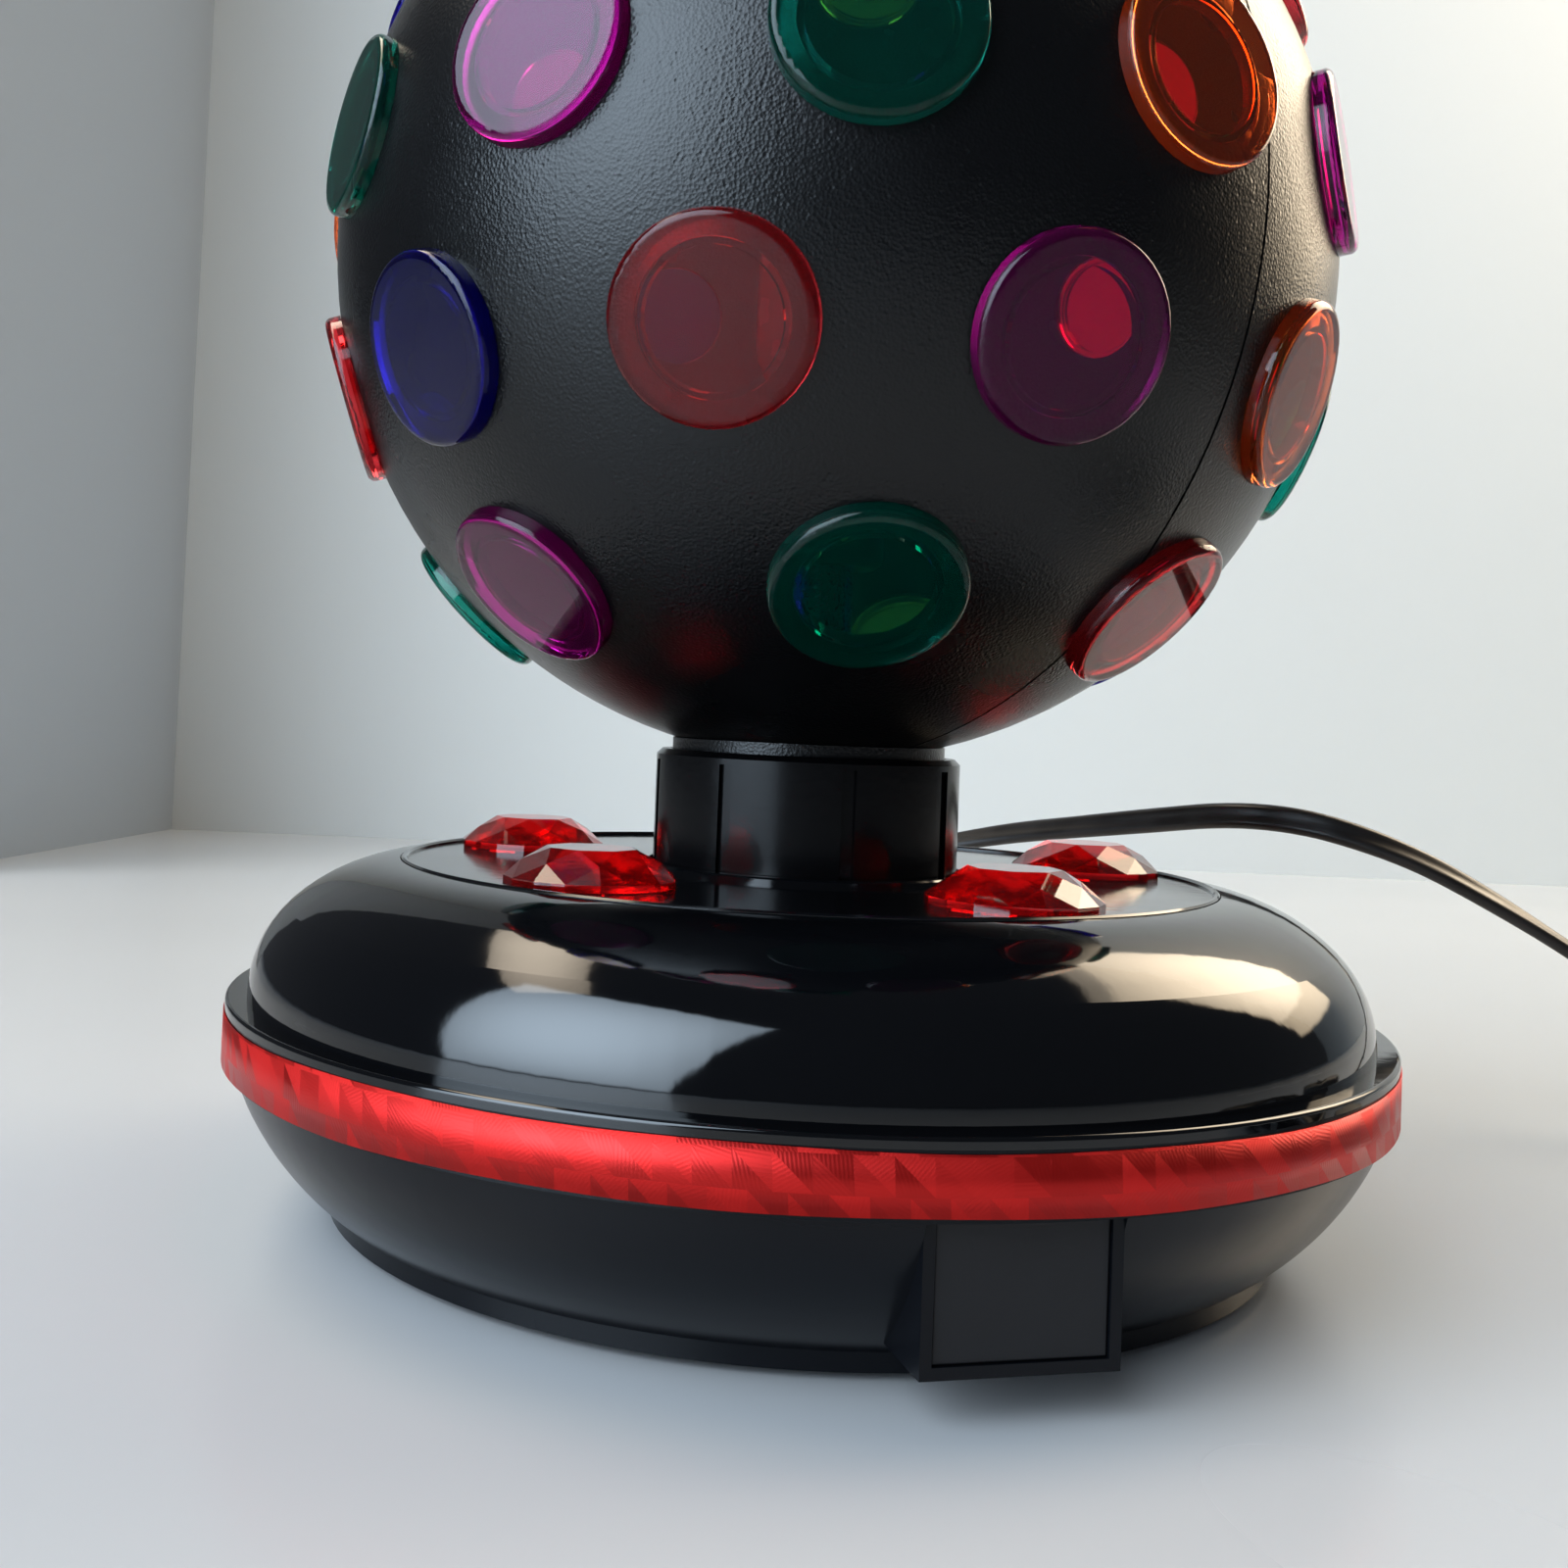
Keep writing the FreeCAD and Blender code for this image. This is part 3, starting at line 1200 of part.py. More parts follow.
def seam_groove(name):
    """The fine groove where the halves meet, as a thin flat ring in the seam's plane."""
    width = s.seam_groove * 2
    floor = s.ball_radius - s.seam_groove
    outside = along_x(name + "_seam_outside", s.ball_radius + 1, width, -s.seam_groove, 0, 0)
    inside = along_x(name + "_seam_inside", floor, width * 2, -width, 0, 0)
    ring = cut(name + "_seam_ring", outside, inside)
    return place(group(name + "_seam", (ring,)), z=s.ball_height, azimuth=s.seam_azimuth)


def make_neck_ring():
    """The ring that joins the ball to the collar: the halves close on its groove, and keys turn it."""
    inner = s.ball_inside
    groove_low = s.ball_height - root(s.ball_radius * s.ball_radius - s.groove_radius * s.groove_radius)
    groove_high = s.ball_height - root(inner * inner - s.neck_radius * s.neck_radius)
    ring = turned("neck_ring", [
        (s.neck_bore, s.ledge_level),
        (s.neck_radius, s.ledge_level),
        (s.neck_radius, groove_low),
        (s.groove_radius, groove_low),
        (s.groove_radius, groove_high),
        (s.neck_radius, groove_high),
        (s.neck_radius, groove_high + s.neck_lip),
        (s.neck_bore, groove_high + s.neck_lip),
    ])
    width = s.key_width + s.key_gap * 2

    def notch(name, x, y, azimuth):
        start = box(name, width, 8, s.key_height + 1 + s.key_gap,
                    x=-width / 2, y=-(s.neck_radius + 3), z=s.ledge_level - 1)
        return place(group(name + "_turned", (start,)), azimuth=azimuth)

    notches = ring_of("neck_notch", s.key_count, s.neck_radius, s.key_phase, notch)
    node("ball_neck_ring", cut("ball_neck", ring, *notches))


def lens_solid():
    """One lens about +Z, with heights counted from the middle of the ball: a round-edged window in a
    flange that seats on the ball, and a short tube behind it."""
    flange, plug = number(s.lens_radius), number(s.lens_plug_radius)
    ball, gap = number(s.ball_radius), number(s.lens_seat_gap)
    edge = number(s.lens_edge)
    bore = plug - number(s.lens_plug_wall)
    bottom = number(s.ball_inside) + 0.1
    seat_in = math.sqrt(ball * ball - plug * plug) + gap
    seat_out = math.sqrt(ball * ball - flange * flange) + gap
    top = seat_out + number(s.lens_rim)
    behind = top - number(s.lens_window)
    slant = edge * math.sqrt(0.5)
    rounding = Part.Arc(
        Vector(flange, 0, top - edge),
        Vector(flange - edge + slant, 0, top - edge + slant),
        Vector(flange - edge, 0, top),
    )
    outline = [
        Vector(flange - edge, 0, top), Vector(0, 0, top), Vector(0, 0, behind), Vector(bore, 0, behind),
        Vector(bore, 0, bottom), Vector(plug, 0, bottom), Vector(plug, 0, seat_in),
        Vector(flange, 0, seat_out), Vector(flange, 0, top - edge),
    ]
    edges = [Part.LineSegment(a, b).toShape() for a, b in zip(outline, outline[1:])]
    face = Part.Face(Part.Wire(Part.sortEdges([*edges, rounding.toShape()])[0]))
    return face.revolve(Vector(0, 0, 0), Vector(0, 0, 1), 360)


def make_ball():
    front = s.seam_azimuth - 90
    back = s.seam_azimuth + 90
    places = lens_places(FRONT_ROWS, number(front)) + lens_places(BACK_ROWS, number(back))
    node("ball_front_half", ball_half("ball_front", places, front, True))
    node("ball_back_half", ball_half("ball_back", places, back, False))
    make_neck_ring()
    master = lens_solid()
    if master.Volume < 0:
        master.reverse()
    by_colour = {}
    for azimuth, latitude, colour in places:
        lens = master.transformed(outward(azimuth, latitude).toMatrix())
        by_colour.setdefault(colour, []).append(lens)
    for colour, lenses in sorted(by_colour.items()):
        node(f"lenses_{colour}", feature(f"lenses_{colour}", Part.makeCompound(lenses)))


def make_lamp():
    inside = s.lamp_tube_radius - s.lamp_tube_wall
    flange_top = s.chassis_top + s.lamp_tube_flange_thickness
    node("lamp_post", turned("lamp_tube", [
        (inside, s.lamp_tube_bottom),
        (s.lamp_tube_radius, s.lamp_tube_bottom),
        (s.lamp_tube_radius, s.chassis_top),
        (s.lamp_tube_flange, s.chassis_top),
        (s.lamp_tube_flange, flange_top),
        (s.lamp_tube_radius, flange_top),
        (s.lamp_tube_radius, s.lamp_tube_top),
        (inside, s.lamp_tube_top),
    ]))
    flat = s.nut_flats / 2
    corner = flat / cosine(30)
    nut = padded("nut", "XY_Plane", [
        (corner, 0), (corner / 2, flat), (-corner / 2, flat),
        (-corner, 0), (-corner / 2, -flat), (corner / 2, -flat),
    ], s.nut_height, offset=s.chassis_level - s.nut_height)
    nut_bore = cylinder("nut_bore", s.lamp_tube_radius, s.nut_height + 2, z=s.chassis_level - s.nut_height - 1)
    node("lamp_post_nut", cut("lamp_post_nut", nut, nut_bore))

    node("lamp_holder", turned("holder", [
        (s.lamp_tube_radius, s.holder_bottom),
        (s.holder_radius - 1.5, s.holder_bottom),
        (s.holder_radius, s.holder_bottom + 1.5),
        (s.holder_radius, s.holder_top - 1),
        (s.holder_radius - 1, s.holder_top),
        (s.holder_bore, s.holder_top),
        (s.holder_bore, s.bulb_seat),
        (s.contact_radius, s.bulb_seat),
        (s.contact_radius, s.lamp_tube_top),
        (s.lamp_tube_radius, s.lamp_tube_top),
    ]))
    node("holder_contact", turned("contact", [
        (0, s.bulb_seat - s.holder_floor),
        (s.contact_radius, s.bulb_seat - s.holder_floor),
        (s.contact_radius, s.bulb_seat - 1),
        (s.cap_tip_radius, s.bulb_seat),
        (0, s.bulb_seat),
    ]))
    cap_top = s.bulb_seat + s.cap_height
    shoulder = s.bulb_seat + s.cap_tip_height
    node("bulb_cap", turned("cap", [
        (0, s.bulb_seat),
        (s.cap_tip_radius, s.bulb_seat),
        (s.cap_tip_radius + 0.6, shoulder),
        (s.cap_radius - 0.6, shoulder + 2.5),
        (s.cap_radius, shoulder + 3.5),
        (s.cap_radius, cap_top - 1),
        (s.cap_radius + 0.3, cap_top),
        (0, cap_top),
    ]))
    glass_top = cap_top + s.bulb_glass_length
    node("bulb_glass", turned("glass", [
        (0, cap_top),
        (s.bulb_neck_radius, cap_top),
        (s.bulb_neck_radius, cap_top + s.bulb_neck_height, s.bulb_radius, 1),
        (s.bulb_radius, cap_top + s.bulb_shoulder),
        (s.bulb_radius, glass_top - s.bulb_radius, s.bulb_radius, 1),
        (0, glass_top),
    ]))


def rounded_path(route):
    """A route as straight runs joined by tangent arcs, each as large as its two runs allow."""
    points = [Vector(*p) for p in route]
    edges = []
    radii = []
    start = points[0]
    for before, corner, after in zip(points, points[1:], points[2:]):
        into, out = corner - before, after - corner
        back = 0.45 * min(into.Length, out.Length)
        turn = into.getAngle(out)
        radius = back / math.tan(turn / 2)
        radii.append(radius)
        first = corner - into.normalize() * back
        last = corner + out.normalize() * back
        chord_middle = (first + last) * 0.5
        to_corner = corner - chord_middle
        sagitta = radius * (1 - math.cos(turn / 2))
        bend = chord_middle + to_corner.normalize() * sagitta
        edges.append(Part.LineSegment(start, first).toShape())
        edges.append(Part.Arc(first, bend, last).toShape())
        start = last
    edges.append(Part.LineSegment(start, points[-1]).toShape())
    return Part.Wire(edges), radii


def tube_along(wire, radius, name):
    """A round tube along a smooth wire, with its volume compared to section times length."""
    first = wire.Edges[0]
    start = first.valueAt(first.FirstParameter)
    heading = first.tangentAt(first.FirstParameter)
    circle = Part.Wire([Part.makeCircle(radius, start, heading)])
    tube = wire.makePipeShell([circle], True, False)
    share = tube.Volume / (math.pi * radius * radius * wire.Length)
    print(f"{name}: length {wire.Length:.1f} mm, volume {share:.4f} of section times length")
    if abs(share - 1) > 0.01:
        raise ValueError(f"{name} has the wrong volume")
    return tube


def cord_tube(name, route, radius):
    wire, radii = rounded_path(route)
    print(f"{name}: bend radii " + ", ".join(f"{r:.0f}" for r in radii))
    return tube_along(wire, radius, name)


def biarc(start, heading, end, last_heading):
    """Two arcs that leave start along heading and reach end along last_heading."""
    span = end - start
    both = heading + last_heading
    a = 2 * heading.dot(last_heading) - 2
    b = -2 * span.dot(both)
    c = span.dot(span)
    if abs(a) < 1e-9:
        reach = -c / b
    else:
        reach = (-b - math.sqrt(b * b - 4 * a * c)) / (2 * a)
    first_corner = start + heading * reach
    last_corner = end - last_heading * reach
    middle = (first_corner + last_corner) * 0.5
    arcs = []
    for a_point, corner, b_point in ((start, first_corner, middle), (middle, last_corner, end)):
        chord = (b_point - a_point).Length / 2
        foot = (a_point + b_point) * 0.5
        height = (corner - foot).Length
        sagitta = (reach - chord) * chord / height
        arcs.append(Part.Arc(a_point, foot + (corner - foot).normalize() * sagitta, b_point).toShape())
    return arcs


def coil_wire():
    """Two layers of cord: the turns spiral in below, climb in the half turn inside, and spiral out above."""
    width = number(s.cord_width)
    pitch = width + number(s.coil_gap)
    turns = number(s.coil_turns)
    mean = number(s.coil_mean_diameters) * width / 2
    outer = mean + pitch * turns / 2
    inner = mean - pitch * turns / 2
    low = width / 2 + number(s.coil_lift)
    dip = 0.18 * width
    quarter = math.pi / 2
    in_steps = round(turns * 4)
    climb_steps = 2
    total = 2 * in_steps + climb_steps

    def radius_at(step):
        if step <= in_steps:
            return outer - (outer - inner) * step / in_steps
        if step <= in_steps + climb_steps:
            return inner - dip * math.sin(math.pi * (step - in_steps) / climb_steps)
        return inner + (outer - inner) * (step - in_steps - climb_steps) / in_steps

    def height_at(step):
        if step <= in_steps:
            return low
        if step >= in_steps + climb_steps:
            return low + pitch
        share = (step - in_steps) / climb_steps
        return low + pitch * (3 * share * share - 2 * share * share * share)

    def point_at(step):
        angle = -quarter * step
        radius = radius_at(step)
        return Vector(radius * math.cos(angle), radius * math.sin(angle), height_at(step))

    def heading_at(step):
        if step in (0, in_steps, in_steps + climb_steps, total):
            angle = -quarter * step
            return Vector(math.sin(angle), -math.cos(angle), 0)
        small = 0.02
        return (point_at(step + small) - point_at(step - small)).normalize()

    edges = []
    first, last = point_at(0), point_at(total)
    edges.append(Part.LineSegment(first - heading_at(0) * width, first).toShape())
    for step in range(total):
        edges += biarc(point_at(step), heading_at(step), point_at(step + 1), heading_at(step + 1))
    edges.append(Part.LineSegment(last, last + heading_at(total) * width).toShape())
    wire = Part.Wire(edges)
    wire.translate(Vector(number(s.coil_x), number(s.coil_y), 0))
    return wire


def least_gap(wire, width):
    """The least gap between turns of a wound tube, measured on points along its middle line."""
    points = wire.discretize(Distance=2.0)
    skip = int(math.pi * width / 2)
    least = 1e9
    for index, point in enumerate(points):
        for other in points[index + skip:]:
            least = min(least, (point - other).Length)
    return least - width


def make_cord():
    radius = number(s.cord_width) / 2
    reach = s.outlet_boss_face
    collar_end = reach + s.relief_collar_thickness
    corners = [
        (0, s.outlet_boss_root - 2),
        (s.relief_collar_radius, s.outlet_boss_root - 2),
        (s.relief_collar_radius, s.outlet_boss_root),
        (s.outlet_bore, s.outlet_boss_root),
        (s.outlet_bore, reach),
        (s.relief_collar_radius, reach),
        (s.relief_collar_radius, collar_end - 0.6),
        (s.relief_collar_radius - 0.6, collar_end),
    ]
    rings = int(number(s.relief_ring_count))
    step = (s.relief_tip - collar_end) / (rings + 0.5)
    fall = (s.outlet_bore - s.relief_tip_radius) / (rings + 0.5)
    for index in range(rings):
        radius_here = s.outlet_bore - fall * index
        start = collar_end + step * index
        corners += [
            (radius_here - s.relief_ring_depth, start),
            (radius_here - s.relief_ring_depth, start + step * 0.4),
            (radius_here - fall * 0.4, start + step * 0.4),
            (radius_here - fall, start + step),
        ]
    corners += [(s.relief_tip_radius, s.relief_tip), (0, s.relief_tip)]
    relief = turned("relief", corners)
    place(relief, z=s.outlet_height, azimuth=-90, axis=Vector(1, 0, 0))
    node("cord_strain_relief", relief)

    node("supply_cord", feature("supply_cord", cord_tube("supply_cord", CORD_ROUTE, radius)))
    node("coil_lead", feature("coil_lead", cord_tube("coil_lead", COIL_LEAD_ROUTE, radius)))
    node("plug_lead", feature("plug_lead", cord_tube("plug_lead", PLUG_LEAD_ROUTE, radius)))
    wire = coil_wire()
    print(f"cord_coil: least gap to itself {least_gap(wire, 2 * radius):.2f} mm")
    first, last = wire.Edges[0], wire.Edges[-1]
    print("cord_coil: from", first.valueAt(first.FirstParameter), "to", last.valueAt(last.LastParameter))
    node("cord_coil", feature("cord_coil", tube_along(wire, radius, "cord_coil")))

    mean = s.coil_mean_diameters * s.cord_width / 2
    half = (s.cord_width + s.coil_gap) * s.coil_turns / 2 + s.cord_width / 2 + 0.4
    tall = s.cord_width * 2 + s.coil_gap + 0.8
    thick = s.tie_thickness
    low = s.coil_lift - 0.2
    tie_outside = box("tie_outside", (half + thick) * 2, s.tie_width, tall + thick * 2,
                      x=s.coil_x - mean - half - thick, y=s.coil_y - s.tie_width / 2, z=low - thick)
    tie_inside = box("tie_inside", half * 2, s.tie_width + 2, tall,
                     x=s.coil_x - mean - half, y=s.coil_y - s.tie_width / 2 - 1, z=low)
    node("coil_tie", cut("coil_tie", tie_outside, tie_inside))


def switch_block(name, width, length, low, high, corner, edge_level):
    """A block centred on the switch, with round upright corners and, at edge_level, round long edges."""
    x0, x1 = s.switch_x - width / 2, s.switch_x + width / 2
    y0, y1 = s.switch_y - length / 2, s.switch_y + length / 2
    block = padded(name, "XY_Plane", [
        (x0 + corner, y0),
        (x1 - corner, y0, corner, 1),
        (x1, y0 + corner),
        (x1, y1 - corner, corner, 1),
        (x1 - corner, y1),
        (x0 + corner, y1, corner, 1),
        (x0, y1 - corner),
        (x0, y0 + corner, corner, 1),
    ], high - low, offset=low)
    if edge_level is not None:
        level = number(edge_level)
        rounded(block, name + "_edge", s.switch_edge,
                lambda e: abs(e.BoundBox.ZMin - level) < 0.01 and abs(e.BoundBox.ZMax - level) < 0.01)
    return block


def make_switch():
    wall = s.switch_wall
    inner_width = s.switch_width - wall * 2
    inner_length = s.switch_length - wall * 2
    inner_corner = s.switch_round - wall
    half_length = s.switch_length / 2
    lower = switch_block("switch_lower_block", s.switch_width, s.switch_length, 0, s.switch_split,
                         s.switch_round, 0)
    upper = switch_block("switch_upper_block", s.switch_width, s.switch_length, s.switch_split,
                         s.switch_height, s.switch_round, s.switch_height)
    lower_hollow = switch_block("switch_lower_hollow", inner_width, inner_length, wall,
                                s.switch_split + 1, inner_corner, None)
    upper_hollow = switch_block("switch_upper_hollow", inner_width, inner_length, s.switch_split - 1,
                                s.switch_height - wall, inner_corner, None)
    screws = ((s.switch_screw_x, s.switch_screw_y), (-s.switch_screw_x, -s.switch_screw_y))
    posts, bores, threads, made = [], [], [], []
    upper_posts = []
    for index, (x, y) in enumerate(screws, start=1):
        x, y = s.switch_x + x, s.switch_y + y
        posts.append(cylinder(f"switch_post_{index}", 3.6, s.switch_split - 1, x=x, y=y, z=1))
        upper_posts.append(cylinder(
            f"switch_upper_post_{index}", 3.6, s.switch_height - s.switch_split - 1, x=x, y=y,
            z=s.switch_split))
        head = cylinder(f"switch_head_hole_{index}", s.screw_head_radius, 5, x=x, y=y, z=-1)
        bore = cylinder(f"switch_bore_{index}", s.screw_radius, 12, x=x, y=y, z=-1)
        bores += [head, bore]
        threads.append(cylinder(f"switch_thread_{index}", s.screw_radius, 7.5, x=x, y=y,
                                z=s.switch_split - 1))
        made.append(screw(f"switch_screw_{index}", 4.0, 10, x, y, head_up=False))
    reach = s.switch_cord_reach
    hole_starts = (("front", s.switch_y - half_length - 2), ("back", s.switch_y + half_length - reach))
    cord_holes = [
        along_y(f"switch_cord_hole_{end}", s.cord_width / 2, reach + 2, start, s.switch_cord_level,
                x=s.switch_x)
        for end, start in hole_starts
    ]
    # a solid block at each end of both shells grips the cord
    grip_width, grip_length = s.cord_width + 5, 8
    grip_x = s.switch_x - grip_width / 2
    grip_starts = (("front", s.switch_y - half_length), ("back", s.switch_y + half_length - grip_length))
    lower_grips = [box(f"switch_lower_grip_{end}", grip_width, grip_length, s.switch_split - 1,
                       x=grip_x, y=start, z=1) for end, start in grip_starts]
    upper_grips = [box(f"switch_upper_grip_{end}", grip_width, grip_length,
                       s.switch_height - s.switch_split - 1,
                       x=grip_x, y=start, z=s.switch_split) for end, start in grip_starts]
    shell = cut("switch_lower_shell", lower, lower_hollow)
    lower_grips = [common(grip.Name + "_inside", grip, lower) for grip in lower_grips]
    lower_solid = fuse("switch_lower_solid", shell, *posts, *lower_grips)
    node("switch_lower", cut("switch_lower", lower_solid, *bores, *cord_holes))

    slot_width = s.rocker_width + s.rocker_side_gap * 2
    slot_length = (s.rocker_half_length + s.rocker_end_gap) * 2
    slot = box("rocker_slot", slot_width, slot_length, 6,
               x=s.switch_x - slot_width / 2, y=s.switch_y - slot_length / 2, z=s.switch_height - 3)
    cheek_length = s.rocker_cheek_half_length * 2
    cheeks = []
    for name, side in (("left", -1), ("right", 1)):
        inner = s.switch_x + side * (slot_width / 2 + s.rocker_cheek / 2) - s.rocker_cheek / 2
        cheeks.append(box(f"rocker_cheek_{name}", s.rocker_cheek, cheek_length,
                          s.switch_height - wall / 2 - s.switch_split,
                          x=inner, y=s.switch_y - cheek_length / 2, z=s.switch_split))
    hole_length = slot_width + s.rocker_cheek * 2 + 1
    pin_hole = along_x("pin_hole", s.rocker_pin_radius + s.running_gap, hole_length,
                       s.switch_x - hole_length / 2, s.switch_y, s.rocker_pivot_level)
    upper_shell = cut("switch_upper_shell", upper, upper_hollow)
    upper_grips = [common(grip.Name + "_inside", grip, upper) for grip in upper_grips]
    upper_solid = fuse("switch_upper_solid", upper_shell, *upper_posts, *upper_grips, *cheeks)
    node("switch_upper", cut("switch_upper", upper_solid, slot, pin_hole, *threads, *cord_holes))
    node("switch_screws", group("switch_screws", made))

    half = s.rocker_half_length
    end, middle = s.rocker_end_rise, s.rocker_middle_rise
    sag = end - middle
    dish = (half * half + sag * sag) / (sag * 2)
    body = padded("rocker", "YZ_Plane", [
        (-3, -3),
        (3, -3),
        (half, 2),
        (half, end, dish, -1),
        (-half, end),
        (-half, 2),
    ], s.rocker_width, midplane=True)
    pin_length = s.rocker_width + s.rocker_side_gap * 2 + s.rocker_cheek * 2 - 0.6
    pin = along_x("rocker_pin", s.rocker_pin_radius, pin_length, -pin_length / 2, 0, 0)
    rocker = fuse("switch_rocker", body, pin)
    place(rocker, x=s.switch_x, y=s.switch_y, z=s.rocker_pivot_level, azimuth=-s.rocker_tilt,
          axis=Vector(1, 0, 0))
    node("switch_rocker", rocker)


def make_plug():
    x, _, z = PLUG_LEAD_ROUTE[-1]
    neck_y = PLUG_LEAD_ROUTE[-1][1] - 4
    half, neck = s.plug_width / 2, s.plug_neck_width / 2
    end_y = neck_y + s.plug_length
    body = padded("plug", "XY_Plane", [
        (x - neck, neck_y),
        (x + neck, neck_y),
        (x + half, neck_y + 14),
        (x + half, end_y),
        (x - half, end_y),
        (x - half, neck_y + 14),
    ], s.plug_thickness, offset=z - s.plug_thickness / 2)
    rounded(body, "plug_edges", s.plug_round, lambda e: e.BoundBox.YMax < number(end_y) - 0.01)
    lead_hole = along_y("plug_lead_hole", s.cord_width / 2, 5, neck_y - 1, z, x=x)
    slots, blades = [], []
    for name, side in (("blade_left", -1), ("blade_right", 1)):
        left = x + side * s.blade_pitch / 2 - s.blade_thickness / 2
        low = z - s.blade_width / 2
        slots.append(box(name + "_slot", s.blade_thickness, s.blade_root + 1, s.blade_width,
                         x=left, y=end_y - s.blade_root, z=low))
        blade = box(name, s.blade_thickness, s.blade_root + s.blade_length, s.blade_width,
                    x=left, y=end_y - s.blade_root, z=low)
        hole = along_x(name + "_hole", 1.6, s.blade_thickness + 2,
                       left - 1, end_y + s.blade_length - 4, z)
        blades.append(cut(name + "_drilled", blade, hole))
    node("plug_body", cut("plug_body", body, lead_hole, *slots))
    node("plug_blades", group("plug_blades", blades))


def make_wiring():
    length, width = s.block_length, s.block_width
    block = box("terminal_body", length, width, s.block_height,
                x=s.block_x - length / 2, y=s.block_y - width / 2, z=s.floor_top)
    wells = []
    for index in range(3):
        x = s.block_x + (index - 1) * length / 3
        wells.append(cylinder(f"terminal_well_{index + 1}", 2.2, 5, x=x, y=s.block_y,
                              z=s.floor_top + s.block_height - 4))
    node("terminal_block", cut("terminal_block", block, *wells))
    radius = number(s.lead_radius)
    inlet_y, inlet_z = number(s.outlet_boss_root) - 2, number(s.outlet_height)
    lead_x, block_y = number(s.block_x) + 4, number(s.block_y)
    block_end, block_side = number(s.block_x + length / 2), number(width / 2)
    can_x = number(s.motor_circle * sine(s.motor_azimuth) - s.motor_radius)
    can_y = -number(s.motor_circle * cosine(s.motor_azimuth))
    can_z = number(s.chassis_level) - 14
    tube_top = number(s.lamp_tube_top)
    routes = (
        (
            (0, inlet_y, inlet_z), (0, inlet_y - 16, inlet_z), (-20, inlet_y - 28, inlet_z + 2),
            (lead_x, block_y + block_side + 12, 13), (lead_x, block_y + block_side, 13),
        ),
        ((lead_x, block_y - block_side, 13), (lead_x, 14, 13), (-16, 0, 13), (0, 0, 24), (0, 0, tube_top)),
        (
            (block_end, block_y, 13), (block_end + 9.5, block_y, 13),
            (can_x - 9.8, can_y, can_z), (can_x, can_y, can_z),
        ),
    )
    tubes = [cord_tube(f"inner_lead_{i}", route, radius) for i, route in enumerate(routes, start=1)]
    node("inner_leads", feature("inner_leads", Part.makeCompound(tubes)))


fill_sheet()
base_levels()
make_lower_shell()
make_upper_shell()
make_base_trim()
make_gems()
make_drive()
make_collar()
make_ball()
make_lamp()
make_cord()
make_switch()
make_plug()
make_wiring()
doc.recompute()

faults = [o.Name for o in doc.Objects if "Invalid" in o.State or "Error" in o.State]
if faults:
    raise SystemExit(f"failed objects: {faults}")
os.makedirs("parts", exist_ok=True)
for name, thing in nodes.items():
    shape = thing.Shape
    if shape.isNull() or not shape.isValid():
        raise SystemExit(f"{name} has no valid shape")
    shape.exportStep(f"parts/{name}.step")
print(len(nodes), "pieces written")
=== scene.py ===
"""Looks of a rotating disco ball lamp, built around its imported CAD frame.

Everything is in metres in the frame's own axes: +Z up, the blank panel faces -Y, and the middle of the
base is the origin. Each operator finishes one piece or a group of like pieces.
"""
import math

import bmesh
import bpy
from bpy.props import BoolProperty, FloatProperty, FloatVectorProperty, PointerProperty
from mathutils import Matrix, Vector


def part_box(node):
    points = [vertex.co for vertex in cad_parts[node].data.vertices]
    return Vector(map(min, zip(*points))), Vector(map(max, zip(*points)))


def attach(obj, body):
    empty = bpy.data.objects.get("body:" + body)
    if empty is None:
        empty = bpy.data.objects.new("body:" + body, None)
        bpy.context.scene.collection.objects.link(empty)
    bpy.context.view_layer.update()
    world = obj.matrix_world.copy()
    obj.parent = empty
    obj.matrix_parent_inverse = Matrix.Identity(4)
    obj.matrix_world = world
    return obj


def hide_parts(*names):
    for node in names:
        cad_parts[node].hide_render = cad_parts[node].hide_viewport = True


bl_info = {
    "name": "Disco ball lamp",
    "version": (1, 0, 0),
    "blender": (4, 5, 0),
    "location": "View3D > Sidebar > Lamp",
    "description": "Finishes and soft pieces of a rotating disco ball lamp",
    "category": "Object",
}

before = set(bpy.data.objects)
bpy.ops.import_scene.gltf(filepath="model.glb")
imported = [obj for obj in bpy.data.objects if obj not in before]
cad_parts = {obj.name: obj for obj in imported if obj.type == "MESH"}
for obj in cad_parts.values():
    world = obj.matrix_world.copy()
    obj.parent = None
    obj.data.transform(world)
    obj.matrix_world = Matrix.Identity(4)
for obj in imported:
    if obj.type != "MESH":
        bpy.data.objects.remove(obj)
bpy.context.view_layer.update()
BODY = "base"

# The cord's corners from the strain relief through the switch to the coil, as in the CAD route.
CORD_TO_COIL = (
    (0.000, 0.136, 0.017),
    (0.000, 0.168, 0.017),
    (0.022, 0.196, 0.027),
    (0.062, 0.196, 0.045),
    (0.104, 0.160, 0.0625),
    (0.130, 0.108, 0.0715),
    (0.147, 0.063, 0.0785),
    (0.174, 0.046, 0.071),
    (0.203, 0.041, 0.0565),
    (0.229, 0.034, 0.040),
    (0.255, 0.023, 0.021),
    (0.273, 0.004, 0.0085),
    (0.281, -0.016, 0.0066),
    (0.282, -0.030, 0.007),
    (0.282, -0.042, 0.007),
    (0.282, -0.090, 0.007),
    (0.282, -0.100, 0.007),
    (0.2826, -0.112, 0.0058),
    (0.282, -0.124, 0.0046),
)
CORD_TO_PLUG = (
    (0.18525, -0.125, 0.0125),
    (0.1845, -0.112, 0.0095),
    (0.18525, -0.099, 0.0065),
    (0.18525, -0.086, 0.0065),
)
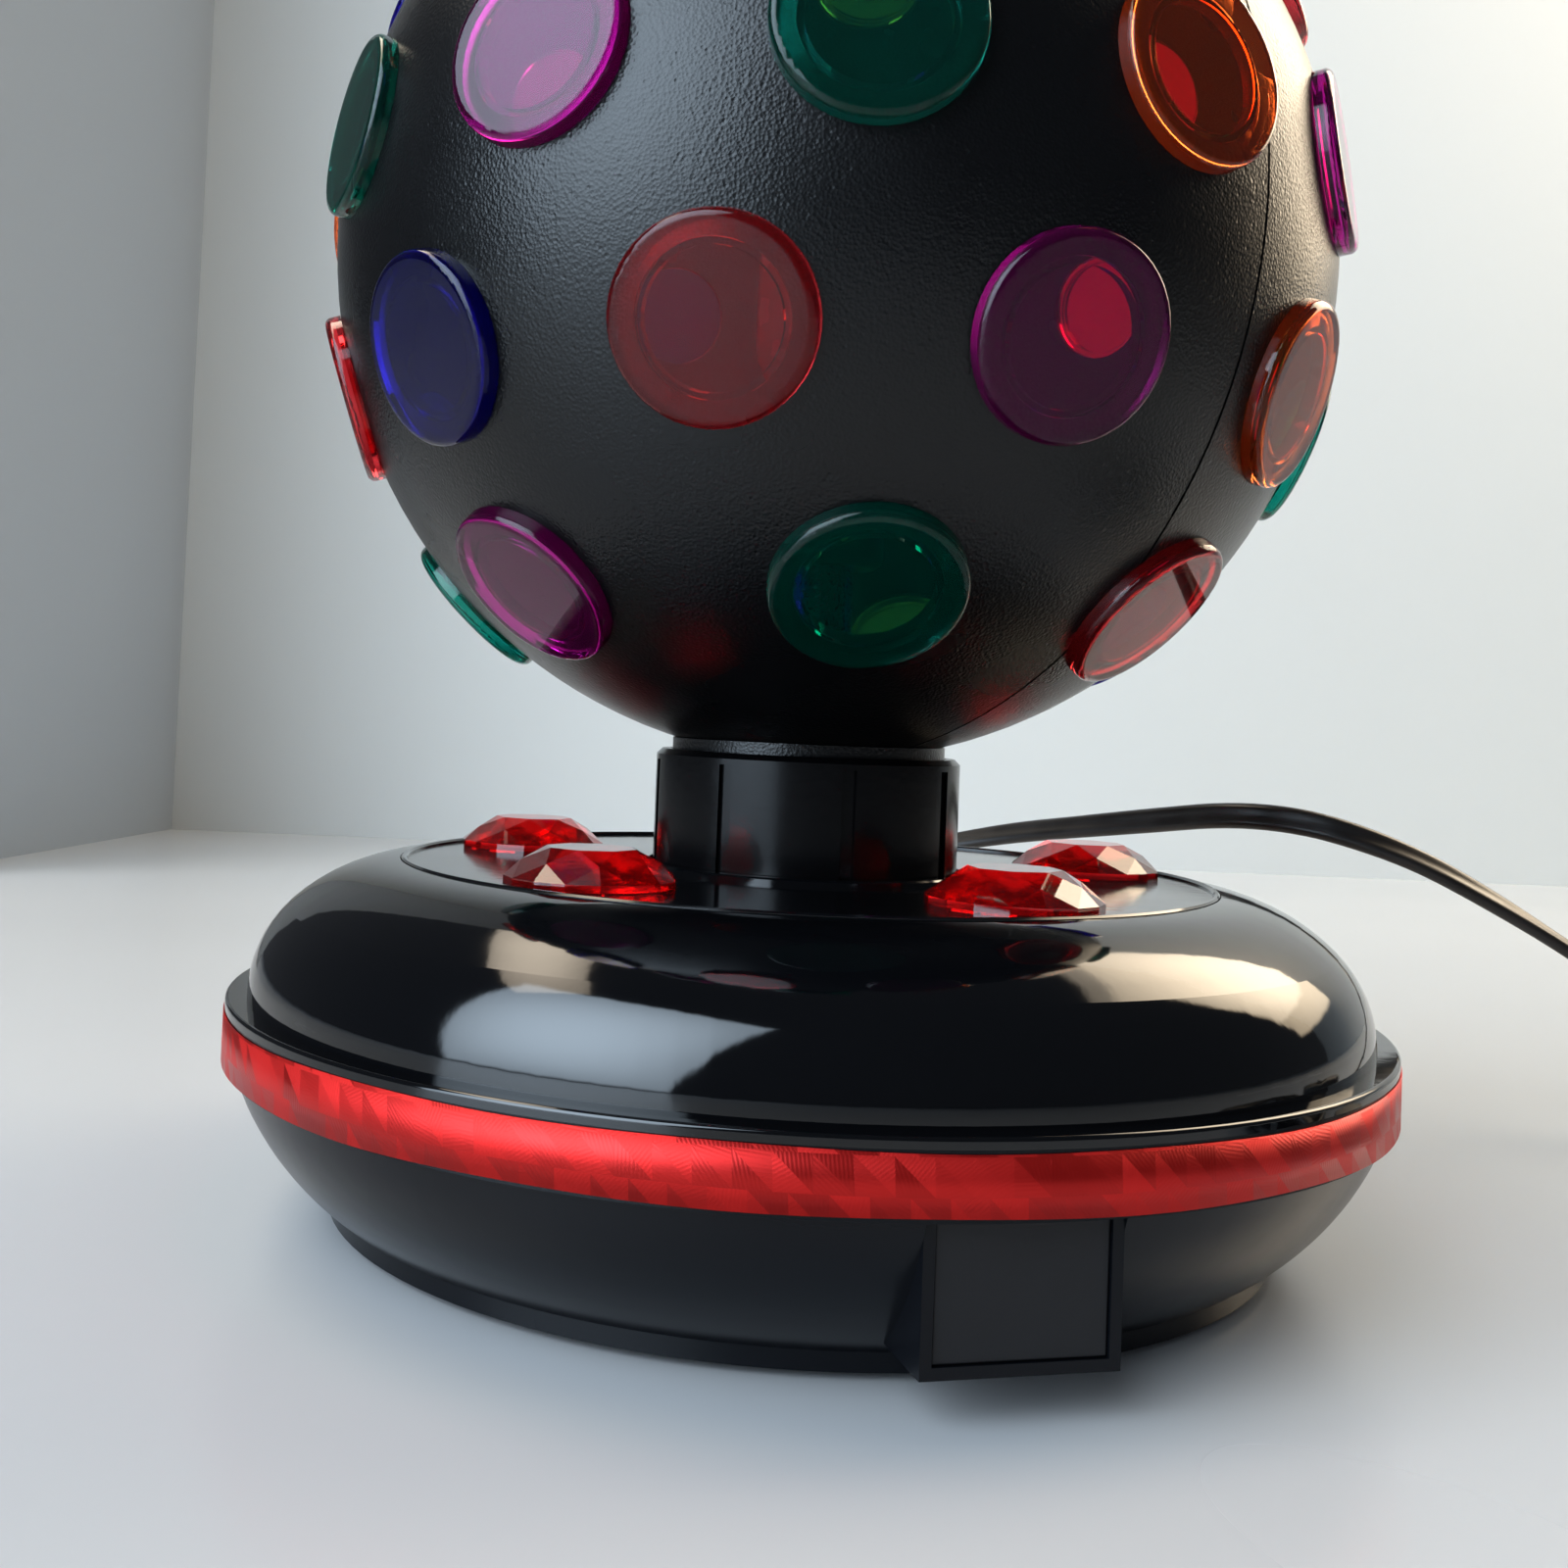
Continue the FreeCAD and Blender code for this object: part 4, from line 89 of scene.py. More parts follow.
# How far the cord's flat side has rolled over, in degrees, at these lengths from the strain relief.
CORD_ROLLS = (
    (0.0, 0),
    (0.05, 10),
    (0.12, 25),
    (0.20, 60),
    (0.235, 84),
    (0.27, 80),
    (0.31, 50),
    (0.36, 20),
    (0.42, 0),
    (9.0, 0),
)
# The coil lies in two layers, wound inward in the lower one and outward in the upper one.
COIL_MIDDLE = Vector((0.233625, -0.142, 0.0))
COIL_RADIUS = 0.0385
COIL_PITCH = 0.0079
COIL_TURNS = 2.5
COIL_LEVEL = 0.0046
COIL_CROSSING_DIP = 0.0012
COIL_POINTS_PER_TURN = 12


class BallSettings(bpy.types.PropertyGroup):
    """Finish of the ball and its neck."""

    color: FloatVectorProperty(
        name="Ball color", description="Moulded plastic of the ball", subtype="COLOR", size=3,
        default=(0.0026, 0.0028, 0.0034), min=0, max=1)
    roughness: FloatProperty(
        name="Roughness", description="Gloss of the moulded skin", default=0.28, min=0, max=1)
    grain: FloatProperty(
        name="Grain size", description="Width of one pebble of the moulded grain", default=0.0006,
        min=0.0002, max=0.01, unit="LENGTH")
    grain_depth: FloatProperty(
        name="Grain depth", description="Height of the moulded grain", default=0.00006, min=0, max=0.001,
        unit="LENGTH")


class LensSettings(bpy.types.PropertyGroup):
    """Colours of the lenses."""

    green: FloatVectorProperty(
        name="Green", description="Green lenses", subtype="COLOR", size=3, default=(0.006, 0.27, 0.20),
        min=0, max=1)
    magenta: FloatVectorProperty(
        name="Magenta", description="Magenta lenses", subtype="COLOR", size=3,
        default=(0.42, 0.006, 0.24), min=0, max=1)
    orange: FloatVectorProperty(
        name="Orange", description="Orange lenses", subtype="COLOR", size=3, default=(0.95, 0.16, 0.03),
        min=0, max=1)
    red: FloatVectorProperty(
        name="Red", description="Red lenses", subtype="COLOR", size=3, default=(0.72, 0.035, 0.045),
        min=0, max=1)
    blue: FloatVectorProperty(
        name="Blue", description="Blue lenses", subtype="COLOR", size=3, default=(0.010, 0.004, 0.30),
        min=0, max=1)


class BaseSettings(bpy.types.PropertyGroup):
    """Finish of the base shells."""

    dome_color: FloatVectorProperty(
        name="Dome color", description="Polished upper shell and deck", subtype="COLOR", size=3,
        default=(0.0022, 0.0026, 0.0036), min=0, max=1)
    bowl_color: FloatVectorProperty(
        name="Bowl color", description="Satin lower shell", subtype="COLOR", size=3,
        default=(0.0044, 0.0052, 0.0074), min=0, max=1)
    panel_color: FloatVectorProperty(
        name="Panel color", description="Matte blank panel", subtype="COLOR", size=3,
        default=(0.012, 0.012, 0.014), min=0, max=1)


class TrimSettings(bpy.types.PropertyGroup):
    """Foil band and gems."""

    foil_color: FloatVectorProperty(
        name="Foil color", description="Prismatic foil tape", subtype="COLOR", size=3,
        default=(0.54, 0.014, 0.012), min=0, max=1)
    foil_tile: FloatProperty(
        name="Foil tile", description="Width of one square of the foil's pattern", default=0.0056,
        min=0.002, max=0.05, unit="LENGTH")
    gem_color: FloatVectorProperty(
        name="Gem color", description="Clear red gems", subtype="COLOR", size=3,
        default=(0.80, 0.012, 0.015), min=0, max=1)


class CordSettings(bpy.types.PropertyGroup):
    """The supply cord."""

    width: FloatProperty(
        name="Cord width", description="Flat twin cord, across both cores", default=0.007, min=0.002,
        max=0.02, unit="LENGTH")
    thickness: FloatProperty(
        name="Cord thickness", description="Flat twin cord, one core", default=0.0035, min=0.001,
        max=0.02, unit="LENGTH")
    color: FloatVectorProperty(
        name="Cord color", description="Brown-black cord", subtype="COLOR", size=3,
        default=(0.012, 0.009, 0.008), min=0, max=1)


class StageSettings(bpy.types.PropertyGroup):
    """Camera, floor and light."""

    lens: FloatProperty(name="Lens", description="Focal length on a 36 mm sensor", default=37.68, min=10,
                        max=200, unit="CAMERA")
    floor_color: FloatVectorProperty(
        name="Floor color", description="Pale table top and wall", subtype="COLOR", size=3,
        default=(0.80, 0.82, 0.84), min=0, max=1)
    light: FloatProperty(name="Light", description="Strength of all lamps", default=1.0, min=0, max=10)
    show_wall: BoolProperty(name="Wall", description="Pale wall behind the table", default=True)


class Finish:
    """A material with its nodes, built step by step."""

    def __init__(self, name, color=None, **sockets):
        self.material = bpy.data.materials.new(name)
        self.material.use_nodes = True
        self.tree = self.material.node_tree
        self.shader = self.tree.nodes["Principled BSDF"]
        if color is not None:
            self.shader.inputs["Base Color"].default_value = (*color, 1)
        for key, value in sockets.items():
            self.shader.inputs[key.replace("_", " ")].default_value = value

    def node(self, kind, **settings):
        made = self.tree.nodes.new(kind)
        for key, value in settings.items():
            if key in made.inputs:
                made.inputs[key].default_value = value
            else:
                setattr(made, key, value)
        return made

    def link(self, source, target):
        self.tree.links.new(source, target)

    def place(self):
        return self.node("ShaderNodeTexCoord").outputs["Object"]

    def noise(self, size, detail=2.0):
        """Noise whose features are about size metres wide."""
        made = self.node("ShaderNodeTexNoise", Scale=1 / size, Detail=detail)
        self.link(self.place(), made.inputs["Vector"])
        return made.outputs["Fac"]

    def cells(self, size):
        """Distance to the middle of the nearest of round cells, size metres apart."""
        made = self.node("ShaderNodeTexVoronoi", Scale=1 / size)
        self.link(self.place(), made.inputs["Vector"])
        return made.outputs["Distance"]

    def span(self, value, low, high, into_low, into_high):
        """A value from low to high, carried over into another range."""
        made = self.node("ShaderNodeMapRange")
        made.inputs["From Min"].default_value = low
        made.inputs["From Max"].default_value = high
        made.inputs["To Min"].default_value = into_low
        made.inputs["To Max"].default_value = into_high
        self.link(value, made.inputs["Value"])
        return made.outputs["Result"]

    def math(self, operation, first, second=None):
        made = self.node("ShaderNodeMath", operation=operation)
        for socket, value in zip(made.inputs, (first, second)):
            if value is None:
                continue
            if isinstance(value, (int, float)):
                socket.default_value = value
            else:
                self.link(value, socket)
        return made.outputs["Value"]

    def blend(self, share, first, second):
        """A colour between two, by a value from 0 to 1."""
        made = self.node("ShaderNodeMix", data_type="RGBA")
        self.link(share, made.inputs["Factor"])
        for socket, value in ((made.inputs[6], first), (made.inputs[7], second)):
            if isinstance(value, bpy.types.NodeSocket):
                self.link(value, socket)
            else:
                socket.default_value = (*value, 1)
        return made.outputs[2]

    def bump(self, height, depth, strength=1.0):
        """Relief of a 0 to 1 height, depth metres high."""
        made = self.node("ShaderNodeBump", Strength=strength, Distance=depth)
        self.link(height, made.inputs["Height"])
        self.link(made.outputs["Normal"], self.shader.inputs["Normal"])

    def set(self, socket, value):
        self.link(value, self.shader.inputs[socket])


def tint(color, factor):
    """The colour, darker or lighter by a factor."""
    return tuple(min(1.0, c * factor) for c in color)


def dress(material, *names):
    """Gives CAD nodes a material in place of their own."""
    for name in names:
        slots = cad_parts[name].data.materials
        slots.clear()
        slots.append(material)


def plastic(name, color, roughness, wear=0.06, size=0.012, **sockets):
    """Moulded plastic: slightly uneven gloss and colour, with fine flow marks."""
    finish = Finish(name, **sockets)
    cloud = finish.noise(size, detail=4)
    finish.set("Base Color", finish.blend(cloud, tint(color, 0.86), tint(color, 1.16)))
    finish.set("Roughness", finish.span(cloud, 0.3, 0.7, roughness - wear / 2, roughness + wear / 2))
    finish.bump(finish.noise(size / 6, detail=3), 0.00002)
    return finish


def metal(name, color, roughness, size=0.0008):
    """Bare or plated metal with fine drawing marks."""
    finish = Finish(name, Metallic=1.0)
    marks = finish.noise(size, detail=5)
    finish.set("Base Color", finish.blend(marks, tint(color, 0.85), tint(color, 1.1)))
    finish.set("Roughness", finish.span(marks, 0.3, 0.7, roughness * 0.7, roughness * 1.3))
    finish.bump(marks, 0.00001)
    return finish


def line_through(name, points):
    """Points along the smooth NURBS line of these control points."""
    data = bpy.data.curves.new(name, "CURVE")
    data.dimensions = "3D"
    data.resolution_u = 10
    spline = data.splines.new("NURBS")
    spline.points.add(len(points) - 1)
    for target, point in zip(spline.points, points):
        target.co = (*point, 1)
    spline.order_u = 3
    spline.use_endpoint_u = True
    helper = bpy.data.objects.new(name, data)
    bpy.context.scene.collection.objects.link(helper)
    bpy.context.view_layer.update()
    mesh = bpy.data.meshes.new_from_object(helper)
    found = [v.co.copy() for v in mesh.vertices]
    bpy.data.meshes.remove(mesh)
    bpy.data.objects.remove(helper)
    bpy.data.curves.remove(data)
    return found


def add_object(name, bm, material, smooth=True):
    """A mesh object in the scene, from a bmesh that is used up."""
    mesh = bpy.data.meshes.new(name)
    bm.normal_update()
    bm.to_mesh(mesh)
    bm.free()
    for polygon in mesh.polygons:
        polygon.use_smooth = smooth
    mesh.materials.append(material)
    made = bpy.data.objects.new(name, mesh)
    bpy.context.scene.collection.objects.link(made)
    return made


def sweep(name, path, section, material, up_at):
    """A closed tube along path. section is a list of (across, over), up_at(k) the flat side's normal."""
    bm = bmesh.new()
    rings = []
    for k, point in enumerate(path):
        before = path[max(k - 1, 0)]
        after = path[min(k + 1, len(path) - 1)]
        tangent = (after - before).normalized()
        up = up_at(k)
        up = (up - tangent * up.dot(tangent)).normalized()
        across = tangent.cross(up)
        rings.append([bm.verts.new(point + across * a + up * b) for a, b in section])
    count = len(section)
    for one, two in zip(rings, rings[1:]):
        for i in range(count):
            j = (i + 1) % count
            bm.faces.new((one[i], one[j], two[j], two[i]))
    bm.faces.new(list(reversed(rings[0])))
    bm.faces.new(rings[-1])
    bmesh.ops.recalc_face_normals(bm, faces=bm.faces)
    return add_object(name, bm, material)


class LAMP_OT_ball(bpy.types.Operator):
    """Pebble-grained black plastic on both halves of the ball"""

    bl_idname = "lamp.ball"
    bl_label = "Ball"

    # the pits between the pebbles: their spacing in pebbles, their width in cells and their share of the
    # depth
    pit_spacing = 2.6
    pit_width = 0.32
    pit_share = 0.8
    duller, glossier = 0.05, 0.03

    def execute(self, context):
        ball = context.scene.lamp_ball
        finish = Finish("ball_plastic", Specular_IOR_Level=0.27)
        cloud = finish.noise(0.03, detail=3)
        finish.set("Base Color", finish.blend(cloud, tint(ball.color, 0.85), tint(ball.color, 1.25)))
        low, high = ball.roughness - self.glossier, ball.roughness + self.duller
        finish.set("Roughness", finish.span(cloud, 0.3, 0.7, low, high))
        pebbles = finish.cells(ball.grain)
        pits = finish.span(finish.cells(ball.grain * self.pit_spacing), 0.0, self.pit_width, 0, 1)
        height = finish.math("ADD", pebbles, finish.math("MULTIPLY", pits, self.pit_share))
        finish.bump(height, ball.grain_depth)
        dress(finish.material, "ball_front_half", "ball_back_half", "ball_neck_ring")
        return {"FINISHED"}


class LAMP_OT_lenses(bpy.types.Operator):
    """Clear coloured plastic for the lenses"""

    bl_idname = "lamp.lenses"
    bl_label = "Lenses"

    def execute(self, context):
        settings = context.scene.lamp_lens
        for name in ("green", "magenta", "orange", "red", "blue"):
            color = getattr(settings, name)
            finish = Finish(f"lens_{name}_plastic", Transmission_Weight=0.95, IOR=1.49,
                            Specular_IOR_Level=0.16, Specular_Tint=(0.42, 0.42, 0.42, 1))
            haze = finish.noise(0.02, detail=3)
            finish.set("Base Color", finish.blend(haze, tint(color, 0.88), tint(color, 1.15)))
            finish.set("Roughness", finish.span(haze, 0.3, 0.7, 0.0, 0.03))
            dress(finish.material, f"lenses_{name}")
        return {"FINISHED"}


class LAMP_OT_neck(bpy.types.Operator):
    """Half-gloss black plastic of the neck collar"""

    bl_idname = "lamp.neck"
    bl_label = "Neck collar"

    def execute(self, context):
        collar = plastic("collar_plastic", (0.0022, 0.0022, 0.0028), 0.20, wear=0.08,
                         Specular_IOR_Level=0.17)
        dress(collar.material, "neck_collar")
        return {"FINISHED"}


class LAMP_OT_base(bpy.types.Operator):
    """Polished dome and deck, satin bowl and the matte blank panel"""

    bl_idname = "lamp.base"
    bl_label = "Base shells"

    def execute(self, context):
        base = context.scene.lamp_base
        dome = plastic("dome_plastic", base.dome_color, 0.05, wear=0.03, size=0.04,
                       Specular_IOR_Level=0.48)
        dress(dome.material, "base_upper_shell")
        deck = plastic("deck_plastic", base.dome_color, 0.10, wear=0.05, size=0.02)
        dress(deck.material, "deck_plate")
        bowl = plastic("bowl_plastic", base.bowl_color, 0.24, wear=0.06, size=0.03,
                       Specular_IOR_Level=0.17)
        dress(bowl.material, "base_lower_shell")
        panel = plastic("panel_plastic", base.panel_color, 0.5, wear=0.06, size=0.004,
                        Specular_IOR_Level=0.3)
        dress(panel.material, "front_blank_panel")
        rubber = plastic("foot_rubber", (0.02, 0.02, 0.02), 0.7, size=0.003)
        dress(rubber.material, "rubber_feet")
        return {"FINISHED"}


class LAMP_OT_foil(bpy.types.Operator):
    """Prismatic red foil tape round the base, cut a little unevenly"""

    bl_idname = "lamp.foil"
    bl_label = "Foil band"

    # the pattern, in tiles: how far a row is shifted against the one below, how much the columns lean,
    # and how finely a tile is ruled
    row_shift = 0.37
    lean = 0.06
    ruling = 60.0
    # the tape, in metres: its thickness, how far it stays off the band's seat and edges, and how far its
    # cut edges wander
    film = 0.0003
    gap = 0.00002
    margin = 0.0004
    wander = 0.00022
    steps = 360

    def execute(self, context):
        finish = self.finish(context.scene.lamp_trim)
        band = add_object("foil_tape", self.tape(), finish.material)
        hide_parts("foil_band")
        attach(band, BODY)
        return {"FINISHED"}

    def finish(self, trim):
        """Square tiles, each split along its diagonal, with their own shade, gloss and ruling."""
        finish = Finish("foil_film", Metallic=0.6, Specular_IOR_Level=0.25)
        uv = finish.node("ShaderNodeTexCoord").outputs["UV"]
        scaled = finish.node("ShaderNodeVectorMath", operation="SCALE")
        scaled.inputs["Scale"].default_value = 1 / trim.foil_tile
        finish.link(uv, scaled.inputs[0])
        split = finish.node("ShaderNodeSeparateXYZ")
        finish.link(scaled.outputs["Vector"], split.inputs["Vector"])
        leaning = finish.math("MULTIPLY", split.outputs["Y"], self.lean)
        along = finish.math("ADD", split.outputs["X"], leaning)
        row = finish.math("FLOOR", split.outputs["Y"])
        shifted = finish.math("ADD", along, finish.math("MULTIPLY", row, self.row_shift))
        column = finish.math("FLOOR", shifted)
        in_x = finish.math("FRACT", shifted)
        in_y = finish.math("FRACT", split.outputs["Y"])
        upper = finish.math("GREATER_THAN", finish.math("ADD", in_x, in_y), 1.0)
        join = finish.node("ShaderNodeCombineXYZ")
        finish.link(column, join.inputs["X"])
        finish.link(row, join.inputs["Y"])
        finish.link(upper, join.inputs["Z"])
        random_cell = finish.node("ShaderNodeTexWhiteNoise", noise_dimensions="3D")
        finish.link(join.outputs["Vector"], random_cell.inputs["Vector"])
        share = random_cell.outputs["Value"]
        color = finish.blend(share, tint(trim.foil_color, 0.78), tint(trim.foil_color, 1.20))
        finish.set("Base Color", color)
        finish.set("Roughness", finish.span(share, 0, 1, 0.30, 0.54))
        # each tile is ruled in its own direction, which gives it its own shine
        turn = finish.math("MULTIPLY", share, math.pi)
        ruled = finish.math("ADD",
                            finish.math("MULTIPLY", finish.math("COSINE", turn), split.outputs["X"]),
                            finish.math("MULTIPLY", finish.math("SINE", turn), split.outputs["Y"]))
        wave = finish.math("SINE", finish.math("MULTIPLY", ruled, self.ruling))
        finish.bump(finish.span(wave, -1, 1, 0, 1), 0.00002, strength=0.5)
        return finish

    def tape(self):
        """The closed ring of tape, unrolled in metres on its UV map."""
        low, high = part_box("foil_band")
        radius = (high.x - low.x) / 2
        inside = radius - self.film + self.gap
        bm = bmesh.new()
        layer = bm.loops.layers.uv.new("UVMap")
        columns = []
        for i in range(self.steps):
            a = 2 * math.pi * i / self.steps
            bottom = self.edge(a, low.z + self.margin, 0.7)
            top = self.edge(a, high.z - self.margin, 2.1)
            corners = ((radius, bottom), (radius, top), (inside, top), (inside, bottom))
            columns.append([bm.verts.new((r * math.cos(a), r * math.sin(a), z)) for r, z in corners])
        for i in range(self.steps):
            one, two = columns[i], columns[(i + 1) % self.steps]
            for k in range(4):
                face = bm.faces.new((one[k], two[k], two[(k + 1) % 4], one[(k + 1) % 4]))
                for loop in face.loops:
                    column = i + 1 if loop.vert in two else i
                    length = radius * 2 * math.pi * column / self.steps
                    loop[layer].uv = (length, loop.vert.co.z)
        bmesh.ops.recalc_face_normals(bm, faces=bm.faces)
        return bm

    def edge(self, angle, level, seed):
        """Level of a cut edge that wanders a little as it goes round."""
        return level + self.wander * (math.sin(3 * angle + seed) + 0.6 * math.sin(11 * angle + 2 * seed))


class LAMP_OT_gems(bpy.types.Operator):
    """Clear red gems with mirrored backs"""

    bl_idname = "lamp.gems"
    bl_label = "Gems"

    # the gems round the deck: their number, and the place of one of them in degrees from +X
    count = 5
    first_place = -72.0
    # the mirrored back of a gem: its radius, its levels over the deck, the share of its radius that is flat
    # on top, and the number of its sides
    back_radius = 0.0150
    back_under, back_edge, back_top = 0.00005, 0.0002, 0.00025
    flat_share = 0.3
    sides = 16

    def execute(self, context):
        trim = context.scene.lamp_trim
        finish = Finish("gem_plastic", color=trim.gem_color, Transmission_Weight=0.92, IOR=1.56)
        finish.set("Roughness", finish.span(finish.noise(0.004), 0.3, 0.7, 0.005, 0.03))
        dress(finish.material, "deck_gems")
        mirror = Finish("gem_backing", Metallic=1.0)
        crinkle = mirror.noise(0.003, detail=3)
        mirror.set("Base Color", mirror.blend(crinkle, (0.75, 0.10, 0.08), (0.95, 0.30, 0.25)))
        mirror.set("Roughness", mirror.span(crinkle, 0.3, 0.7, 0.10, 0.25))
        mirror.bump(crinkle, 0.0002, strength=0.6)
        for index, middle in enumerate(self.middles(), start=1):
            backing = add_object(f"gem_backing_{index}", self.back(middle), mirror.material, smooth=False)
            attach(backing, BODY)
        return {"FINISHED"}

    def back(self, middle):
        """A thin many-sided plate under a gem, a little crowned toward its middle."""
        flat = self.back_radius * self.flat_share
        levels = ((flat, self.back_top), (self.back_radius, self.back_edge),
                  (self.back_radius, self.back_under), (flat, self.back_under))
        bm = bmesh.new()
        rings = []
        for radius, level in levels:
            ring = []
            for i in range(self.sides):
                a = 2 * math.pi * i / self.sides
                corner = Vector((radius * math.cos(a), radius * math.sin(a), level))
                ring.append(bm.verts.new(middle + corner))
            rings.append(ring)
        for one, two in zip(rings, rings[1:]):
            for i in range(self.sides):
                j = (i + 1) % self.sides
                bm.faces.new((one[i], one[j], two[j], two[i]))
        bm.faces.new(rings[0])
        bm.faces.new(list(reversed(rings[-1])))
        bmesh.ops.recalc_face_normals(bm, faces=bm.faces)
        return bm

    def middles(self):
        """Middle of each gem's underside, from the vertices of the gem node that lie round it."""
        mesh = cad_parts["deck_gems"].data
        low = min(v.co.z for v in mesh.vertices)
        groups = {}
        for vertex in mesh.vertices:
            angle = math.degrees(math.atan2(vertex.co.y, vertex.co.x)) % 360
            index = round((angle - self.first_place) * self.count / 360) % self.count
            groups.setdefault(index, []).append(vertex.co)
        found = []
        for points in groups.values():
            x = (min(p.x for p in points) + max(p.x for p in points)) / 2
            y = (min(p.y for p in points) + max(p.y for p in points)) / 2
            found.append((x, y, low))
        return [Vector(place) for place in sorted(found)]


class LAMP_OT_lamp(bpy.types.Operator):
    """Lamp holder, bulb and the tube that carries them"""

    bl_idname = "lamp.lamp"
    bl_label = "Bulb and holder"

    def execute(self, context):
        dress(metal("tube_steel", (0.62, 0.62, 0.64), 0.3).material, "lamp_post", "lamp_post_nut")
        dress(plastic("holder_plastic", (0.02, 0.02, 0.02), 0.35).material, "lamp_holder")
        dress(metal("cap_nickel", (0.75, 0.74, 0.70), 0.25).material, "bulb_cap")
        dress(metal("contact_brass", (0.78, 0.55, 0.22), 0.3).material, "holder_contact")
        glass = Finish("bulb_opal", color=(0.86, 0.85, 0.80), Transmission_Weight=0.25, IOR=1.45,
                       Coat_Weight=0.5)
        glass.set("Roughness", glass.span(glass.noise(0.01), 0.3, 0.7, 0.2, 0.3))
        dress(glass.material, "bulb_glass")
        return {"FINISHED"}


class LAMP_OT_drive(bpy.types.Operator):
    """Motor, gears, turntable and wiring inside the base"""

    bl_idname = "lamp.drive"
    bl_label = "Drive"

    def execute(self, context):
        natural = plastic("acetal", (0.72, 0.70, 0.64), 0.35)
        dress(natural.material, "ring_gear", "drive_pinion", "thrust_washer")
        grey = plastic("chassis_plastic", (0.10, 0.10, 0.11), 0.45)
        dress(grey.material, "drive_chassis", "turntable_hub")
        dress(metal("motor_steel", (0.55, 0.56, 0.58), 0.35, size=0.002).material, "motor_can",
              "motor_mount_plate", "motor_shaft")
        dress(plastic("terminal_plastic", (0.75, 0.75, 0.72), 0.5).material, "terminal_block")
        dress(plastic("lead_sleeve", (0.70, 0.68, 0.60), 0.4).material, "inner_leads")
        return {"FINISHED"}


class LAMP_OT_fasteners(bpy.types.Operator):
    """Zinc-plated screws"""

    bl_idname = "lamp.fasteners"
    bl_label = "Screws"

    def execute(self, context):
        zinc = metal("screw_zinc", (0.60, 0.60, 0.61), 0.35)
        dress(zinc.material, "base_screws", "chassis_screws", "motor_screws", "collar_screws",
              "switch_screws")
        return {"FINISHED"}


class LAMP_OT_cord(bpy.types.Operator):
    """The flat twin cord, its strain relief and the tie round its coil"""

    bl_idname = "lamp.cord"
    bl_label = "Supply cord"

    def execute(self, context):
        cord = context.scene.lamp_cord
        vinyl = Finish("cord_vinyl")
        cloud = vinyl.noise(0.01, detail=3)
        vinyl.set("Base Color", vinyl.blend(cloud, tint(cord.color, 0.8), tint(cord.color, 1.3)))
        vinyl.set("Roughness", vinyl.span(cloud, 0.3, 0.7, 0.30, 0.42))
        vinyl.bump(vinyl.noise(0.0012, detail=2), 0.00003)
        controls = [Vector(p) for p in CORD_TO_COIL] + self.coil() + [Vector(p) for p in CORD_TO_PLUG]
        path = line_through("cord_line", controls)
        lengths = [0.0]
        for one, two in zip(path, path[1:]):
            lengths.append(lengths[-1] + (two - one).length)
        flat_twin = self.section(cord.width, cord.thickness)

        def up_at(k):
            tangent = (path[min(k + 1, len(path) - 1)] - path[max(k - 1, 0)]).normalized()
            up = Vector((0, 0, 1))
            up = (up - tangent * up.dot(tangent)).normalized()
            return Matrix.Rotation(math.radians(self.roll_at(lengths[k])), 3, tangent) @ up

        tube = sweep("supply_cord_flat", path, flat_twin, vinyl.material, up_at)
        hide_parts("supply_cord", "coil_lead", "cord_coil", "plug_lead")
        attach(tube, BODY)
        relief = plastic("relief_rubber", tint(cord.color, 1.2), 0.5, size=0.004)
        dress(relief.material, "cord_strain_relief")
        dress(plastic("tie_nylon", (0.03, 0.03, 0.03), 0.4, size=0.003).material, "coil_tie")
        return {"FINISHED"}

    def roll_at(self, length):
        """Roll of the flat side in degrees, this far along the cord."""
        for (start, first), (end, last) in zip(CORD_ROLLS, CORD_ROLLS[1:]):
            if start <= length <= end:
                return first + (last - first) * self.eased((length - start) / (end - start))
        return CORD_ROLLS[-1][1]

    def eased(self, share):
        """A share from 0 to 1 that starts and ends gently."""
        return share * share * (3 - 2 * share)

    def section(self, width, thickness):
        """Two round cores side by side with a groove between them."""
        core = thickness / 2
        offset = width / 2 - core
        points = []
        for side in (1, -1):
            for k in range(9):
                angle = math.radians(-120 + 30 * k)
                points.append((side * (offset + core * math.cos(angle)), side * core * math.sin(angle)))
        return points

    def coil(self):
        """Control points of the two layers of turns."""
        steps_in = round(COIL_TURNS * COIL_POINTS_PER_TURN)
        steps_up = COIL_POINTS_PER_TURN // 2
        outer = COIL_RADIUS + COIL_PITCH * COIL_TURNS / 2
        inner = COIL_RADIUS - COIL_PITCH * COIL_TURNS / 2
        step_angle = 2 * math.pi / COIL_POINTS_PER_TURN
        low, high = COIL_LEVEL, COIL_LEVEL + COIL_PITCH
        controls = []
        for k in range(2 * steps_in + steps_up + 1):
            if k <= steps_in:
                radius, level = outer - (outer - inner) * k / steps_in, low
            elif k <= steps_in + steps_up:
                share = (k - steps_in) / steps_up
                radius = inner - COIL_CROSSING_DIP * math.sin(math.pi * share)
                level = low + (high - low) * self.eased(share)
            else:
                radius = inner + (outer - inner) * (k - steps_in - steps_up) / steps_in
                level = high
            # a control point stands outside the line that it pulls
            reach = radius / math.cos(step_angle / 2)
            angle = -step_angle * k
            around = Vector((reach * math.cos(angle), reach * math.sin(angle), level))
            controls.append(COIL_MIDDLE + around)
        return controls


